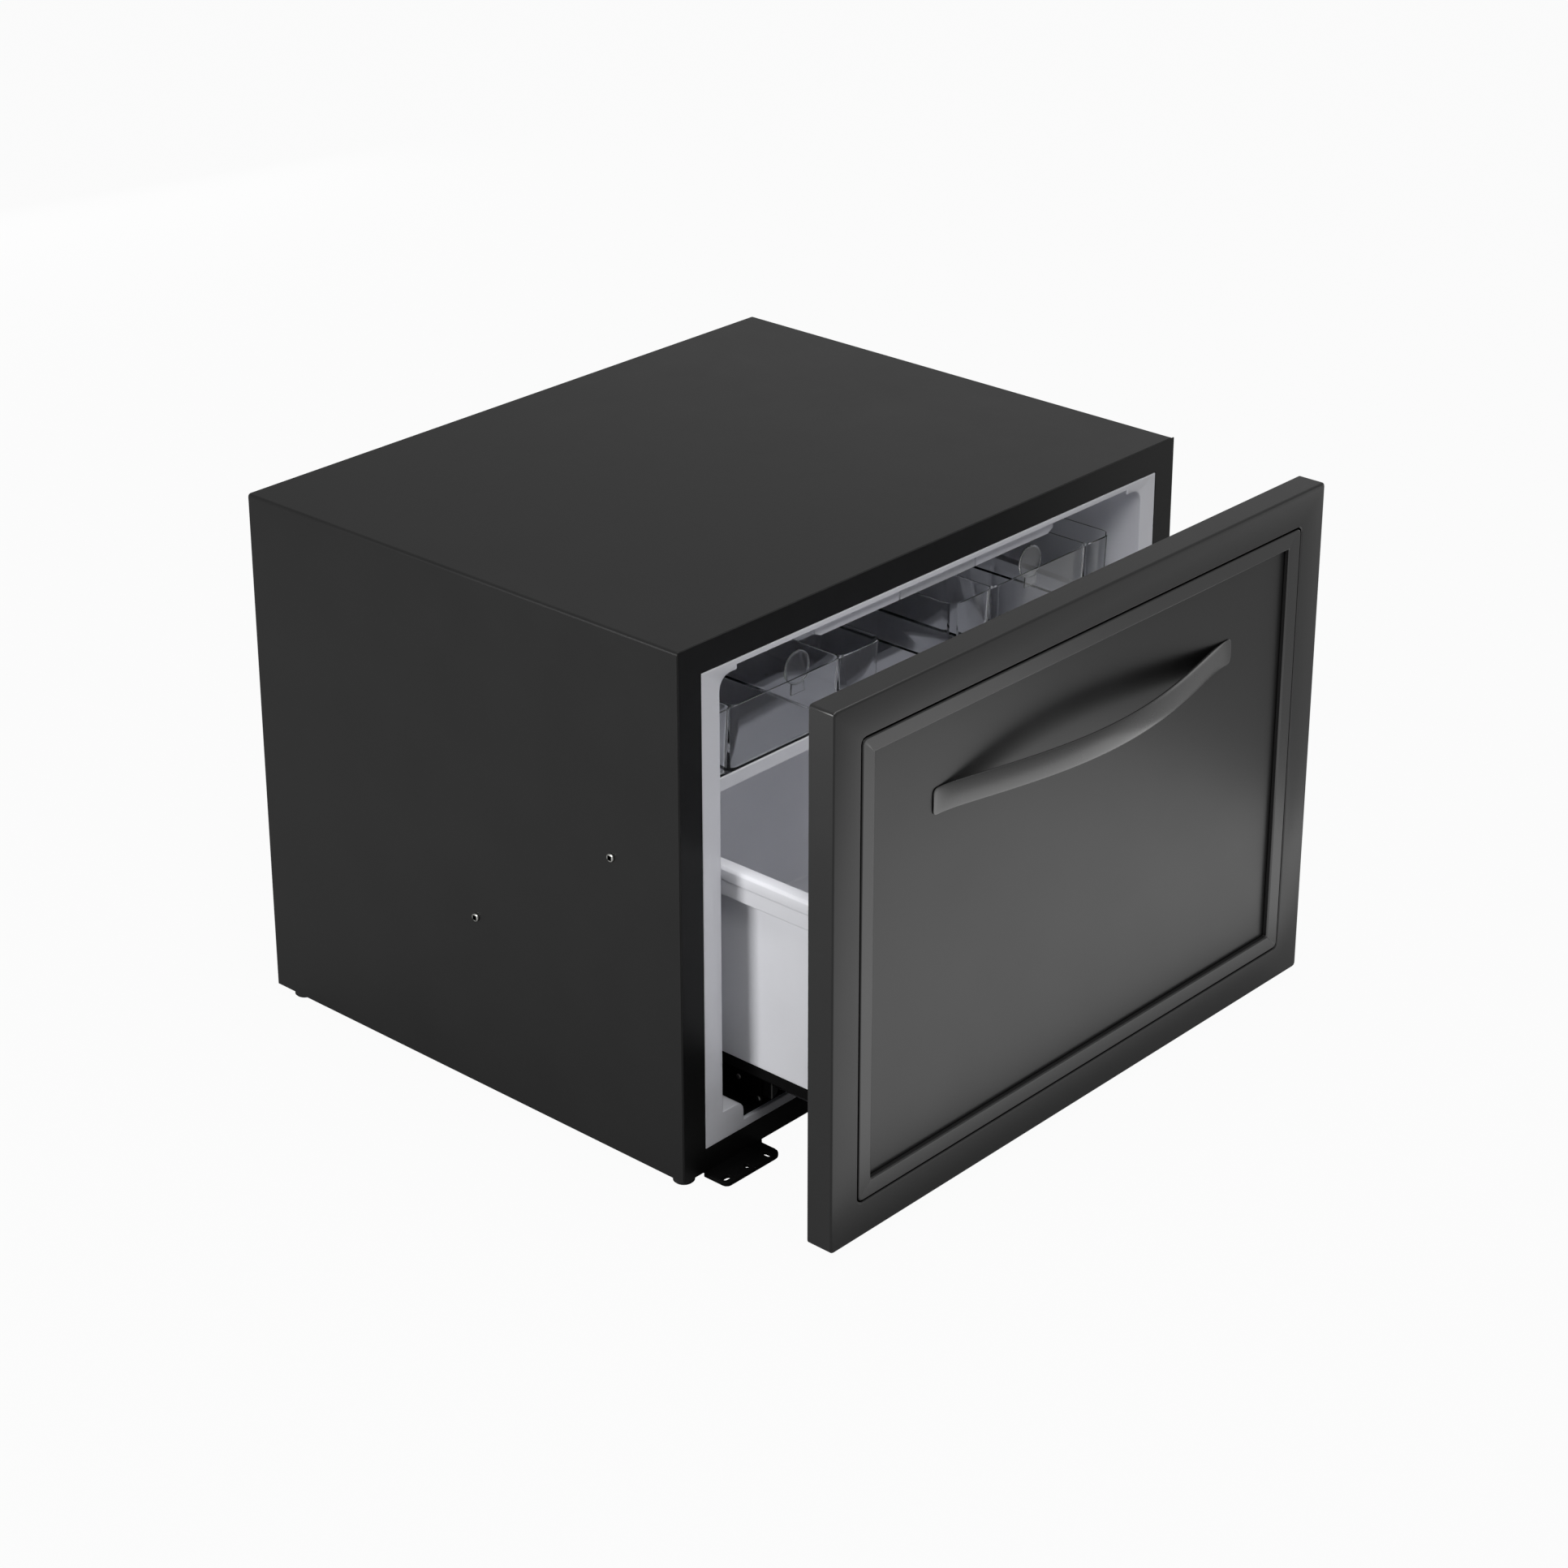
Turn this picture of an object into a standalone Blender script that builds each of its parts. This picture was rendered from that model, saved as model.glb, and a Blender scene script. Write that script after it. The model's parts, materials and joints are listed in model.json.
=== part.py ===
"""Drawer minibar fridge: an insulated cabinet with one full-height drawer.

Metres, +Z up. The front faces -Y. The origin is on the floor, at the middle of the whole object's box.
The drawer stands partly pulled out, as in the rest pose.
"""

import math

import bmesh
import bpy
from mathutils import Matrix, Vector

# Cabinet
CABINET_WIDTH = 0.587
CABINET_HEIGHT = 0.436
CABINET_DEPTH = 0.464
CASING_SHEET = 0.0010
CASING_BEND = 0.0026
REAR_FLANGE = 0.012
BASE_UPTURN = 0.012
FOOT_HEIGHT = 0.010
FOOT_RADIUS = 0.0085
FOOT_INSET = 0.0155

# Front frame and inner liner
FRAME_SIDE = 0.0235
FRAME_TOP = 0.0235
FRAME_BOTTOM = 0.0190
FRAME_SHEET = 0.0012
FRAME_RETURN = 0.010
FLANGE_SIDE = 0.0193
FLANGE_TOP = 0.0052
FLANGE_BOTTOM = 0.0080
FLANGE_SHEET = 0.0020
LINER_WALL = 0.0015
LINER_DEPTH = 0.345
LEDGE_WIDTH = 0.0232
LEDGE_HEIGHT = 0.0165
LEDGE_ROUND = 0.008
CORNER_ROUND = 0.011
CORNER_SHELF = 0.0185
CORNER_STEP = 0.0038

# Light in the ceiling of the cavity
LIGHT_LENGTH = 0.284
LIGHT_DEPTH = 0.040
LIGHT_DROP = 0.0098
LIGHT_SETBACK = 0.005
LENS_LENGTH = 0.091
LENS_SHEET = 0.0022
LAMP_BOARD_SHEET = 0.0016

# Cooling unit, a thermoelectric module between two sinks
COOLER_HEIGHT = 0.235
MACHINE_SPACE = 0.0687
PANEL_SHEET = 0.0010
BLOCK_SIDE = 0.060
MODULE_SIDE = 0.040
MODULE_THICKNESS = 0.0036
HEAT_SINK_WIDTH = 0.160
HEAT_SINK_HEIGHT = 0.130
HEAT_SINK_BASE = 0.005
HEAT_FIN_LENGTH = 0.030
HEAT_FIN_COUNT = 17
FIN_SHEET = 0.0016
COLD_SINK_SIDE = 0.100
COLD_SINK_BASE = 0.0047
COLD_FIN_LENGTH = 0.017
COLD_FIN_COUNT = 12
REAR_FAN_SIZE = 0.092
REAR_FAN_DEPTH = 0.025
COLD_FAN_SIZE = 0.060
COLD_FAN_DEPTH = 0.015
FAN_BLADES = 7
COVER_WIDTH = 0.240
COVER_HEIGHT = 0.250
COVER_DEPTH = 0.040
COVER_WALL = 0.0020
COVER_CORNER = 0.012
COVER_CHAMFER = 0.004
COVER_SLOTS = 7
SLOT_WIDTH = 0.0045
SLOT_LENGTH = 0.052
REAR_SLOT_ROWS = 10
GRILLE_RINGS = 3
GRILLE_SECTORS = 6

# Power supply and inlet at the back
SUPPLY_SIZE = (0.110, 0.048, 0.070)
SUPPLY_INSET = 0.040
SUPPLY_HEIGHT = 0.020
INLET_SIZE = (0.0270, 0.0185, 0.0200)
INLET_FLANGE = (0.044, 0.0010, 0.026)
INLET_CORNER = 0.004
INLET_WALL = 0.0022
INLET_PIN = 0.0035
INLET_PINS = ((-0.0070, -0.0012), (0, 0.0026), (0.0070, -0.0012))

# Mounting brackets and side screws
BRACKET_SHEET = 0.0030
BRACKET_LEFT = 0.0210
BRACKET_RIGHT = 0.0835
BRACKET_REACH = 0.0240
BRACKET_BACK = 0.0500
BRACKET_ROUND = 0.0045
BRACKET_CORNER = 0.0080
BRACKET_FILLET = 0.0030
BRACKET_SLOT = (0.0044, 0.0085)
BRACKET_HOLE = 0.0025
SIDE_SCREW_RADIUS = 0.0034
SIDE_SCREW_HEAD = 0.0018
SIDE_SCREWS = ((0.0708, 0.2510), (0.2193, 0.1489))

# Telescopic runners
RUNNER_LENGTH = 0.300
MIDDLE_LENGTH = 0.250
MIDDLE_SETBACK = 0.0414
RUNNER_FRONT = 0.012
RUNNER_INSET = 0.0452
RUNNER_RAISE = 0.0063
RUNNER_THICKNESS = 0.0127
RUNNER_HEIGHT = 0.0439
RUNNER_SHEET = 0.0012
RUNNER_LIP = 0.0026
RACE_DEPTH = 0.0105
RACE_GAP = 0.0004
RAIL_SHEET = 0.0020
RAIL_FRONT = 0.0030
RAIL_FOOT_OUT = 0.0205
RAIL_FOOT_IN = 0.0400
CARRIER_SHEET = 0.0020
CARRIER_WIDTH = 0.030
CARRIER_REACH = 0.0270
CARRIER_LIP = 0.0085
CARRIER_LENGTH = 0.290

# Drawer front
REST_GAP = 0.1238
DRAWER_OVERHANG = 0.0008
DRAWER_LIFT = 0.0015
DRAWER_TOP_GAP = 0.0012
DRAWER_THICKNESS = 0.0234
DRAWER_EDGE = 0.0016
DRAWER_CORNER = 0.0030
SEAM_INSET = 0.0290
SEAM_WIDTH = 0.0014
TRIM_WIDTH = 0.0140
TRIM_BEVEL = 0.0012
TRIM_CORNER = 0.0040
PANEL_RECESS = 0.0050
PANEL_THICKNESS = 0.0040
PANEL_OVERLAP = 0.0040
PANEL_CORNER = 0.0012
BACK_SHEET = 0.0015
PLUG_HEIGHT = 0.0120
PLUG_SIDE = 0.0690
PLUG_BOTTOM = 0.0950
PLUG_TOP = 0.0450
PLUG_DRAFT = 0.0060
PLUG_CORNER = 0.0150
GASKET_THICKNESS = 0.0080
GASKET_WIDTH = 0.0130
GASKET_INSET = 0.0263

# Bow handle
HANDLE_LENGTH = 0.3625
HANDLE_HEIGHT = 0.0215
HANDLE_BOW = 0.0305
HANDLE_SHEET = 0.0034
HANDLE_DROP = 0.1100
HANDLE_ROUND = 0.0040
HANDLE_STEPS = 28
HANDLE_POWER = 1.15

# Bin, tray frame and trays
BIN_SIDE_GAP = 0.0072
BIN_HEIGHT = 0.1662
BIN_FRONT = 0.016
BIN_DEPTH = 0.284
BIN_WALL = 0.0020
BIN_DRAFT = 0.0015
BIN_CORNER = 0.020
BIN_FOOT = 0.0015
RIM_WIDTH = 0.0105
RIM_HEIGHT = 0.0102
RIM_STEP = 0.0012
RIM_ROUND = 0.001
SKIRT_HEIGHT = 0.0143
TRAY_FRAME_BAR = 0.0080
TRAY_FRAME_HEIGHT = 0.0100
TRAY_LEG = 0.0200
TRAY_HEADROOM = 0.0473
TRAY_FRONT = 0.1462
TRAY_DEPTH = 0.1498
TRAY_HEIGHT = 0.0534
TRAY_SIDE_GAP = 0.0042
TRAY_INNER = 0.0415
TRAY_WALL = 0.0016
TRAY_CORNER = 0.0120
TRAY_SIDE_POCKET = 0.0340
TRAY_INNER_POCKET = 0.0495
TAB_OFFSET = 0.1070
TAB_RADIUS = 0.0138
TAB_SHEET = 0.0016
TAB_RISE = 0.0070

CLEAR = 0.0003
ROUND_STEPS = 32

# Places that follow from the sizes above
HALF_WIDTH = CABINET_WIDTH / 2
OPENING_SIDE = HALF_WIDTH - FRAME_SIDE - FLANGE_SIDE
FLOOR_LEVEL = FRAME_BOTTOM + FLANGE_BOTTOM
CEILING_LEVEL = CABINET_HEIGHT - FRAME_TOP - FLANGE_TOP
LEDGE_LEVEL = FLOOR_LEVEL + LEDGE_HEIGHT
LINER_BACK = LINER_DEPTH + LINER_WALL
MACHINE_PLANE = CABINET_DEPTH - MACHINE_SPACE
RUNNER_LEVEL = FLOOR_LEVEL + RUNNER_RAISE
RUNNER_TOP = RUNNER_LEVEL + RUNNER_HEIGHT
RUNNER_SIDE = OPENING_SIDE - RUNNER_INSET - RAIL_SHEET - CLEAR
CARRIER_LEVEL = RUNNER_TOP + 2 * CLEAR
BIN_LEVEL = CARRIER_LEVEL + CARRIER_SHEET + CLEAR
BIN_TOP = BIN_LEVEL + BIN_HEIGHT
BIN_HALF = OPENING_SIDE - BIN_SIDE_GAP
TRAY_LEVEL = CEILING_LEVEL - TRAY_HEADROOM
TRAY_OUTER = OPENING_SIDE - TRAY_SIDE_GAP
TRAY_WIDTH = TRAY_OUTER - TRAY_INNER
DRAWER_WIDTH = CABINET_WIDTH + 2 * DRAWER_OVERHANG
DRAWER_HEIGHT = CABINET_HEIGHT - DRAWER_LIFT - DRAWER_TOP_GAP
PANEL_FACE = -DRAWER_THICKNESS + PANEL_RECESS
FRONT_REACH = REST_GAP - PANEL_FACE + HANDLE_BOW
FRONT_PLANE = -(CABINET_DEPTH - FRONT_REACH) / 2
HEAT_SINK_FACE = MACHINE_PLANE + PANEL_SHEET + CLEAR
REAR_FAN_FACE = HEAT_SINK_FACE + HEAT_SINK_BASE + HEAT_FIN_LENGTH + CLEAR
COLD_SINK_FACE = LINER_DEPTH - CLEAR - COLD_SINK_BASE
COLD_FAN_FACE = COLD_SINK_FACE - COLD_FIN_LENGTH - CLEAR - COLD_FAN_DEPTH
REAR_COVER_PLANE = CABINET_DEPTH - CASING_SHEET - CLEAR - PANEL_SHEET

FINISHES = {
    "dark_coat": ((0.040, 0.040, 0.042), 0.42, 0.4),
    "black_coat": ((0.008, 0.008, 0.009), 0.45, 0.2),
    "grey_coat": ((0.085, 0.085, 0.087), 0.34, 0.6),
    "satin_metal": ((0.120, 0.120, 0.122), 0.28, 0.9),
    "white_plastic": ((0.720, 0.725, 0.750), 0.38, 0.0),
    "clear_plastic": ((0.800, 0.820, 0.840), 0.08, 0.0),
    "black_plastic": ((0.014, 0.014, 0.015), 0.50, 0.0),
    "zinc": ((0.560, 0.560, 0.550), 0.30, 1.0),
    "black_steel": ((0.020, 0.020, 0.022), 0.40, 0.6),
    "aluminium": ((0.620, 0.620, 0.630), 0.32, 1.0),
    "foam": ((0.700, 0.600, 0.380), 0.90, 0.0),
    "rubber": ((0.050, 0.050, 0.052), 0.75, 0.0),
    "circuit_board": ((0.020, 0.160, 0.060), 0.50, 0.0),
    "ceramic": ((0.780, 0.780, 0.760), 0.60, 0.0),
}


def clear_scene():
    for old in list(bpy.data.objects):
        bpy.data.objects.remove(old, do_unlink=True)


def add_empty(name, place, parent=None):
    empty = bpy.data.objects.new(name, None)
    empty.location = place
    empty.parent = parent
    bpy.context.collection.objects.link(empty)
    return empty


def paint(name, finish):
    color, roughness, metallic = FINISHES[finish]
    coat = bpy.data.materials.new(name + "_" + finish)
    coat.use_nodes = True
    shader = coat.node_tree.nodes["Principled BSDF"]
    shader.inputs["Base Color"].default_value = (*color, 1.0)
    shader.inputs["Roughness"].default_value = roughness
    shader.inputs["Metallic"].default_value = metallic
    coat.diffuse_color = (*color, 1.0)
    return coat


def add_piece(name, bm, finish, parent, place=(0, 0, 0)):
    """Turns a bmesh into a named object with its own material."""
    bmesh.ops.recalc_face_normals(bm, faces=bm.faces)
    mesh = bpy.data.meshes.new(name)
    bm.to_mesh(mesh)
    bm.free()
    mesh.shade_smooth()
    mesh.set_sharp_from_angle(angle=math.radians(35))
    piece = bpy.data.objects.new(name, mesh)
    piece.location = place
    piece.parent = parent
    mesh.materials.append(paint(name, finish))
    bpy.context.collection.objects.link(piece)
    return piece


def combine(piece, tool_name, bm, operation):
    """Adds a Boolean whose tool is a hidden object in the piece's own frame."""
    bmesh.ops.recalc_face_normals(bm, faces=bm.faces)
    mesh = bpy.data.meshes.new(tool_name)
    bm.to_mesh(mesh)
    bm.free()
    tool = bpy.data.objects.new(tool_name, mesh)
    tool.location = piece.location
    tool.parent = piece.parent
    tool.hide_render = True
    tool.display_type = "WIRE"
    bpy.context.collection.objects.link(tool)
    boolean = piece.modifiers.new(tool_name, "BOOLEAN")
    boolean.operation = operation
    boolean.solver = "EXACT"
    boolean.object = tool


def cut(piece, tool_name, bm):
    combine(piece, piece.name + "_" + tool_name, bm, "DIFFERENCE")


def join(piece, tool_name, bm):
    combine(piece, piece.name + "_" + tool_name, bm, "UNION")


def add_box(bm, low, high):
    low = Vector(low)
    high = Vector(high)
    place = Matrix.Translation((low + high) / 2) @ Matrix.Diagonal((*(high - low), 1))
    bmesh.ops.create_cube(bm, size=1, matrix=place)


def box(low, high):
    bm = bmesh.new()
    add_box(bm, low, high)
    return bm


def loft(bm, loops, closed=False):
    """Skins loops of equal length; open ends get a face, a closed loft joins last to first."""
    rings = [[bm.verts.new(point) for point in loop] for loop in loops]
    pairs = list(zip(rings, rings[1:]))
    if closed:
        pairs.append((rings[-1], rings[0]))
    else:
        bm.faces.new(rings[0])
        bm.faces.new(rings[-1])
    for first, second in pairs:
        for index in range(len(first)):
            after = (index + 1) % len(first)
            bm.faces.new((first[index], first[after], second[after], second[index]))


def prism(bm, outline, axis, start, end):
    """Extrudes an outline of two coordinates along an axis."""
    places = {
        "x": lambda a, b, along: (along, a, b),
        "y": lambda a, b, along: (a, along, b),
        "z": lambda a, b, along: (a, b, along),
    }
    at = places[axis]
    loft(bm, [[at(a, b, along) for a, b in outline] for along in (start, end)])


def arc(center, radius, first, last, steps):
    points = []
    for step in range(steps + 1):
        angle = math.radians(first + (last - first) * step / steps)
        points.append((center[0] + radius * math.cos(angle), center[1] + radius * math.sin(angle)))
    return points


def round_rectangle(low, high, radius, steps=4):
    left, bottom = low
    right, top = high
    return (
        arc((right - radius, bottom + radius), radius, -90, 0, steps)
        + arc((right - radius, top - radius), radius, 0, 90, steps)
        + arc((left + radius, top - radius), radius, 90, 180, steps)
        + arc((left + radius, bottom + radius), radius, 180, 270, steps)
    )


def slot_outline(center, length, width, upright=False, steps=4):
    half = (length - width) / 2
    right = arc((half, 0), width / 2, -90, 90, steps)
    left = arc((-half, 0), width / 2, 90, 270, steps)
    points = right + left
    if upright:
        points = [(-b, a) for a, b in points]
    return [(center[0] + a, center[1] + b) for a, b in points]


def turned(bm, profile, axis, center, steps=ROUND_STEPS):
    """Turns a profile of (radius, along) pairs about an axis."""
    places = {
        "x": lambda a, b, along: (along, a, b),
        "y": lambda a, b, along: (a, along, b),
        "z": lambda a, b, along: (a, b, along),
    }
    at = places[axis]
    loops = []
    for radius, along in profile:
        ring = arc((0, 0), radius, 0, 360 * (steps - 1) / steps, steps - 1)
        loops.append([Vector(at(a, b, along)) + Vector(center) for a, b in ring])
    loft(bm, loops)


def bent_sheet(path, thickness):
    """Outline of a sheet bent along a path; the path is its outer skin, the metal lies to its left."""
    points = [Vector(point) for point in path]
    inner = []
    for index, point in enumerate(points):
        before = point - points[index - 1] if index else points[1] - point
        after = points[index + 1] - point if index + 1 < len(points) else before
        first = Vector((-before.y, before.x)).normalized()
        second = Vector((-after.y, after.x)).normalized()
        miter = (first + second).normalized()
        inner.append(point + miter * thickness / miter.dot(first))
    return [tuple(point) for point in points] + [tuple(point) for point in reversed(inner)]


def frame_ring(bm, profile, low, high, corners, steps=3):
    """Runs a closed profile of (inset, y) pairs round a rectangle; corners are its outer and inner radius."""
    insets = [inset for inset, y in profile]
    middle = (min(insets) + max(insets)) / 2
    loops = []
    for inset, y in profile:
        inner_low = (low[0] + inset, low[1] + inset)
        inner_high = (high[0] - inset, high[1] - inset)
        radius = corners[0] if inset < middle else corners[1]
        outline = round_rectangle(inner_low, inner_high, radius, steps)
        loops.append([(x, y, z) for x, z in outline])
    loft(bm, loops, closed=True)


def build_casing(cabinet):
    """Painted sheet bent over both sides and the top, with a return flange at the back."""
    front = FRAME_SHEET + CLEAR
    steps = 3

    def arch(inset, bend, bottom):
        side = HALF_WIDTH - inset
        top = CABINET_HEIGHT - inset
        right = arc((side - bend, top - bend), bend, 0, 90, steps)
        left = arc((-side + bend, top - bend), bend, 90, 180, steps)
        return [(side, bottom)] + right + left + [(-side, bottom)]

    bm = bmesh.new()
    prism(bm, arch(0, CASING_BEND, 0), "y", front, CABINET_DEPTH)
    casing = add_piece("outer_casing", bm, "dark_coat", cabinet)
    inner = bmesh.new()
    bend = CASING_BEND - CASING_SHEET
    prism(inner, arch(CASING_SHEET, bend, -REAR_FLANGE), "y", -REAR_FLANGE, CABINET_DEPTH - CASING_SHEET)
    cut(casing, "inside", inner)
    window = bmesh.new()
    prism(
        window,
        arch(REAR_FLANGE, bend, -REAR_FLANGE),
        "y",
        CABINET_DEPTH - 2 * REAR_FLANGE,
        CABINET_DEPTH + REAR_FLANGE,
    )
    cut(casing, "window", window)


def build_base(cabinet):
    side = HALF_WIDTH - CASING_SHEET - CLEAR
    path = [(-side, BASE_UPTURN), (-side, 0), (side, 0), (side, BASE_UPTURN)]
    bm = bmesh.new()
    prism(bm, bent_sheet(path, PANEL_SHEET), "y", FRAME_SHEET + CLEAR, REAR_COVER_PLANE - CLEAR)
    add_piece("base_panel", bm, "black_coat", cabinet)


def build_front_frame(cabinet):
    """Flat black frame whose inner edge turns back round the liner's flange."""
    bm = box((-HALF_WIDTH, 0, 0), (HALF_WIDTH, FRAME_SHEET, CABINET_HEIGHT))
    frame = add_piece("front_frame", bm, "black_coat", cabinet)
    side = HALF_WIDTH - FRAME_SIDE
    top = CABINET_HEIGHT - FRAME_TOP
    collar = box(
        (-side - FRAME_SHEET, FRAME_SHEET / 2, FRAME_BOTTOM - FRAME_SHEET),
        (side + FRAME_SHEET, FRAME_RETURN, top + FRAME_SHEET),
    )
    join(frame, "collar", collar)
    cut(frame, "opening", box((-side, -FRAME_RETURN, FRAME_BOTTOM), (side, 2 * FRAME_RETURN, top)))


def liner_section():
    """Cavity cross-section: ledges for the runners below, stepped round corners above."""
    left = -OPENING_SIDE
    ledge_right = left + LEDGE_WIDTH
    shelf_level = CEILING_LEVEL - CORNER_STEP
    half = [(ledge_right, FLOOR_LEVEL)]
    half += arc((ledge_right - LEDGE_ROUND, LEDGE_LEVEL - LEDGE_ROUND), LEDGE_ROUND, 0, 90, 4)
    half += [(left, LEDGE_LEVEL)]
    half += arc((left + CORNER_ROUND, shelf_level - CORNER_ROUND), CORNER_ROUND, 180, 90, 4)
    half += [(left + CORNER_SHELF, shelf_level), (left + CORNER_SHELF, CEILING_LEVEL)]
    return half + [(-x, z) for x, z in reversed(half)]


def build_liner(cabinet):
    """Vacuum-formed white tub with its front flange and the port for the cold block."""
    tub = box(
        (-OPENING_SIDE - LINER_WALL, FLANGE_SHEET / 2, FLOOR_LEVEL - LINER_WALL),
        (OPENING_SIDE + LINER_WALL, LINER_BACK, CEILING_LEVEL + LINER_WALL),
    )
    liner = add_piece("inner_liner", tub, "white_plastic", cabinet)
    side = HALF_WIDTH - FRAME_SIDE - CLEAR
    flange = box(
        (-side, 0, FRAME_BOTTOM + CLEAR),
        (side, FLANGE_SHEET, CABINET_HEIGHT - FRAME_TOP - CLEAR),
    )
    join(liner, "flange", flange)
    cavity = bmesh.new()
    prism(cavity, liner_section(), "y", -LINER_DEPTH / 2, LINER_DEPTH)
    cut(liner, "cavity", cavity)
    port = BLOCK_SIDE / 2 + CLEAR
    port_low = (-port, LINER_DEPTH / 2, COOLER_HEIGHT - port)
    port_high = (port, LINER_BACK + LINER_WALL, COOLER_HEIGHT + port)
    cut(liner, "port", box(port_low, port_high))


def build_insulation(cabinet):
    """Foam between casing and liner, open at the front, with the cold block's port at the back."""
    side = HALF_WIDTH - 2 * CASING_SHEET - 2 * CLEAR
    top = CABINET_HEIGHT - CASING_SHEET - CLEAR
    back = MACHINE_PLANE - CLEAR
    front = FRAME_RETURN + CLEAR
    foam = add_piece(
        "foam_insulation",
        box((-side, front, PANEL_SHEET + CLEAR), (side, back, top)),
        "foam",
        cabinet,
    )
    hollow = LINER_WALL + CLEAR
    cut(
        foam,
        "hollow",
        box(
            (-OPENING_SIDE - hollow, -front, FLOOR_LEVEL - hollow),
            (OPENING_SIDE + hollow, LINER_BACK + CLEAR, CEILING_LEVEL + hollow),
        ),
    )
    port = BLOCK_SIDE / 2 + CLEAR
    cut(
        foam,
        "port",
        box((-port, LINER_DEPTH, COOLER_HEIGHT - port), (port, CABINET_DEPTH, COOLER_HEIGHT + port)),
    )


def build_light(cabinet):
    """Housing under the ceiling with a lens in its middle third and the lamp board behind the lens."""
    top = CEILING_LEVEL - CLEAR
    bottom = top - LIGHT_DROP
    half = LIGHT_LENGTH / 2
    back = LIGHT_SETBACK + LIGHT_DEPTH
    chamfer = LIGHT_DROP / 3
    outline = [(-half, top), (-half, bottom + chamfer), (-half + 2 * chamfer, bottom)]
    outline += [(-x, z) for x, z in reversed(outline)]
    bm = bmesh.new()
    prism(bm, outline, "y", LIGHT_SETBACK, back)
    housing = add_piece("light_housing", bm, "white_plastic", cabinet)
    pocket = LENS_LENGTH / 2 + CLEAR
    wall = LINER_WALL
    cut(
        housing,
        "pocket",
        box((-pocket, 0, bottom - LIGHT_DROP), (pocket, back - wall, top - wall)),
    )
    lens_half = LENS_LENGTH / 2
    path = [
        (LIGHT_SETBACK, top - wall - CLEAR),
        (LIGHT_SETBACK, bottom),
        (back - wall - CLEAR, bottom),
        (back - wall - CLEAR, top - wall - CLEAR),
    ]
    lens = bmesh.new()
    prism(lens, bent_sheet(path, LENS_SHEET), "x", -lens_half, lens_half)
    add_piece("light_lens", lens, "clear_plastic", cabinet)
    board_top = top - wall - CLEAR
    board_wall = LENS_SHEET + 2 * CLEAR
    board = box(
        (-lens_half + board_wall, LIGHT_SETBACK + board_wall, board_top - LAMP_BOARD_SHEET),
        (lens_half - board_wall, back - wall - board_wall, board_top),
    )
    lamps = add_piece("lamp_board", board, "circuit_board", cabinet)
    chips = bmesh.new()
    chip = LAMP_BOARD_SHEET
    middle = (LIGHT_SETBACK + back) / 2
    for index in range(5):
        x = (index - 2) * LENS_LENGTH / 6
        add_box(
            chips,
            (x - chip, middle - chip, board_top - LAMP_BOARD_SHEET - chip / 2),
            (x + chip, middle + chip, board_top - LAMP_BOARD_SHEET / 2),
        )
    join(lamps, "chips", chips)


def build_machine_panel(cabinet):
    """Sheet behind the foam; the cooling module sits in its port."""
    side = HALF_WIDTH - 2 * CASING_SHEET - 2 * CLEAR
    top = CABINET_HEIGHT - CASING_SHEET - CLEAR
    panel = add_piece(
        "machine_panel",
        box((-side, MACHINE_PLANE, PANEL_SHEET + CLEAR), (side, MACHINE_PLANE + PANEL_SHEET, top)),
        "zinc",
        cabinet,
    )
    port = BLOCK_SIDE / 2 + CLEAR
    cut(
        panel,
        "port",
        box((-port, LINER_DEPTH, COOLER_HEIGHT - port), (port, CABINET_DEPTH, COOLER_HEIGHT + port)),
    )


def comb(width, face, base, fin_length, count, toward):
    """Outline of a finned sink in X and Y; toward is +1 when the fins point to the back."""
    half = width / 2
    pitch = (width - FIN_SHEET) / (count - 1)
    root = face + toward * base
    tip = root + toward * fin_length
    points = [(-half, face), (-half, tip)]
    for index in range(count):
        left = -half + index * pitch
        if index:
            points += [(left, root), (left, tip)]
        points += [(left + FIN_SHEET, tip)]
        if index < count - 1:
            points += [(left + FIN_SHEET, root)]
    points += [(half, face)]
    return points


def build_cooler(cabinet):
    """Cold sink, cold block, module and heat sink, stacked through the port."""
    block = BLOCK_SIDE / 2
    module_back = HEAT_SINK_FACE - CLEAR
    module_front = module_back - MODULE_THICKNESS
    module = MODULE_SIDE / 2
    bm = bmesh.new()
    outline = comb(HEAT_SINK_WIDTH, HEAT_SINK_FACE, HEAT_SINK_BASE, HEAT_FIN_LENGTH, HEAT_FIN_COUNT, 1)
    prism(bm, outline, "z", COOLER_HEIGHT - HEAT_SINK_HEIGHT / 2, COOLER_HEIGHT + HEAT_SINK_HEIGHT / 2)
    add_piece("heat_sink", bm, "aluminium", cabinet)
    add_piece(
        "cooling_module",
        box(
            (-module, module_front, COOLER_HEIGHT - module),
            (module, module_back, COOLER_HEIGHT + module),
        ),
        "ceramic",
        cabinet,
    )
    add_piece(
        "cold_block",
        box(
            (-block, LINER_DEPTH, COOLER_HEIGHT - block),
            (block, module_front - CLEAR, COOLER_HEIGHT + block),
        ),
        "aluminium",
        cabinet,
    )
    half = COLD_SINK_SIDE / 2
    cold = bmesh.new()
    face = COLD_SINK_FACE + COLD_SINK_BASE
    outline = comb(COLD_SINK_SIDE, face, COLD_SINK_BASE, COLD_FIN_LENGTH, COLD_FIN_COUNT, -1)
    prism(cold, outline, "z", COOLER_HEIGHT - half, COOLER_HEIGHT + half)
    add_piece("cold_sink", cold, "aluminium", cabinet)


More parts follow.
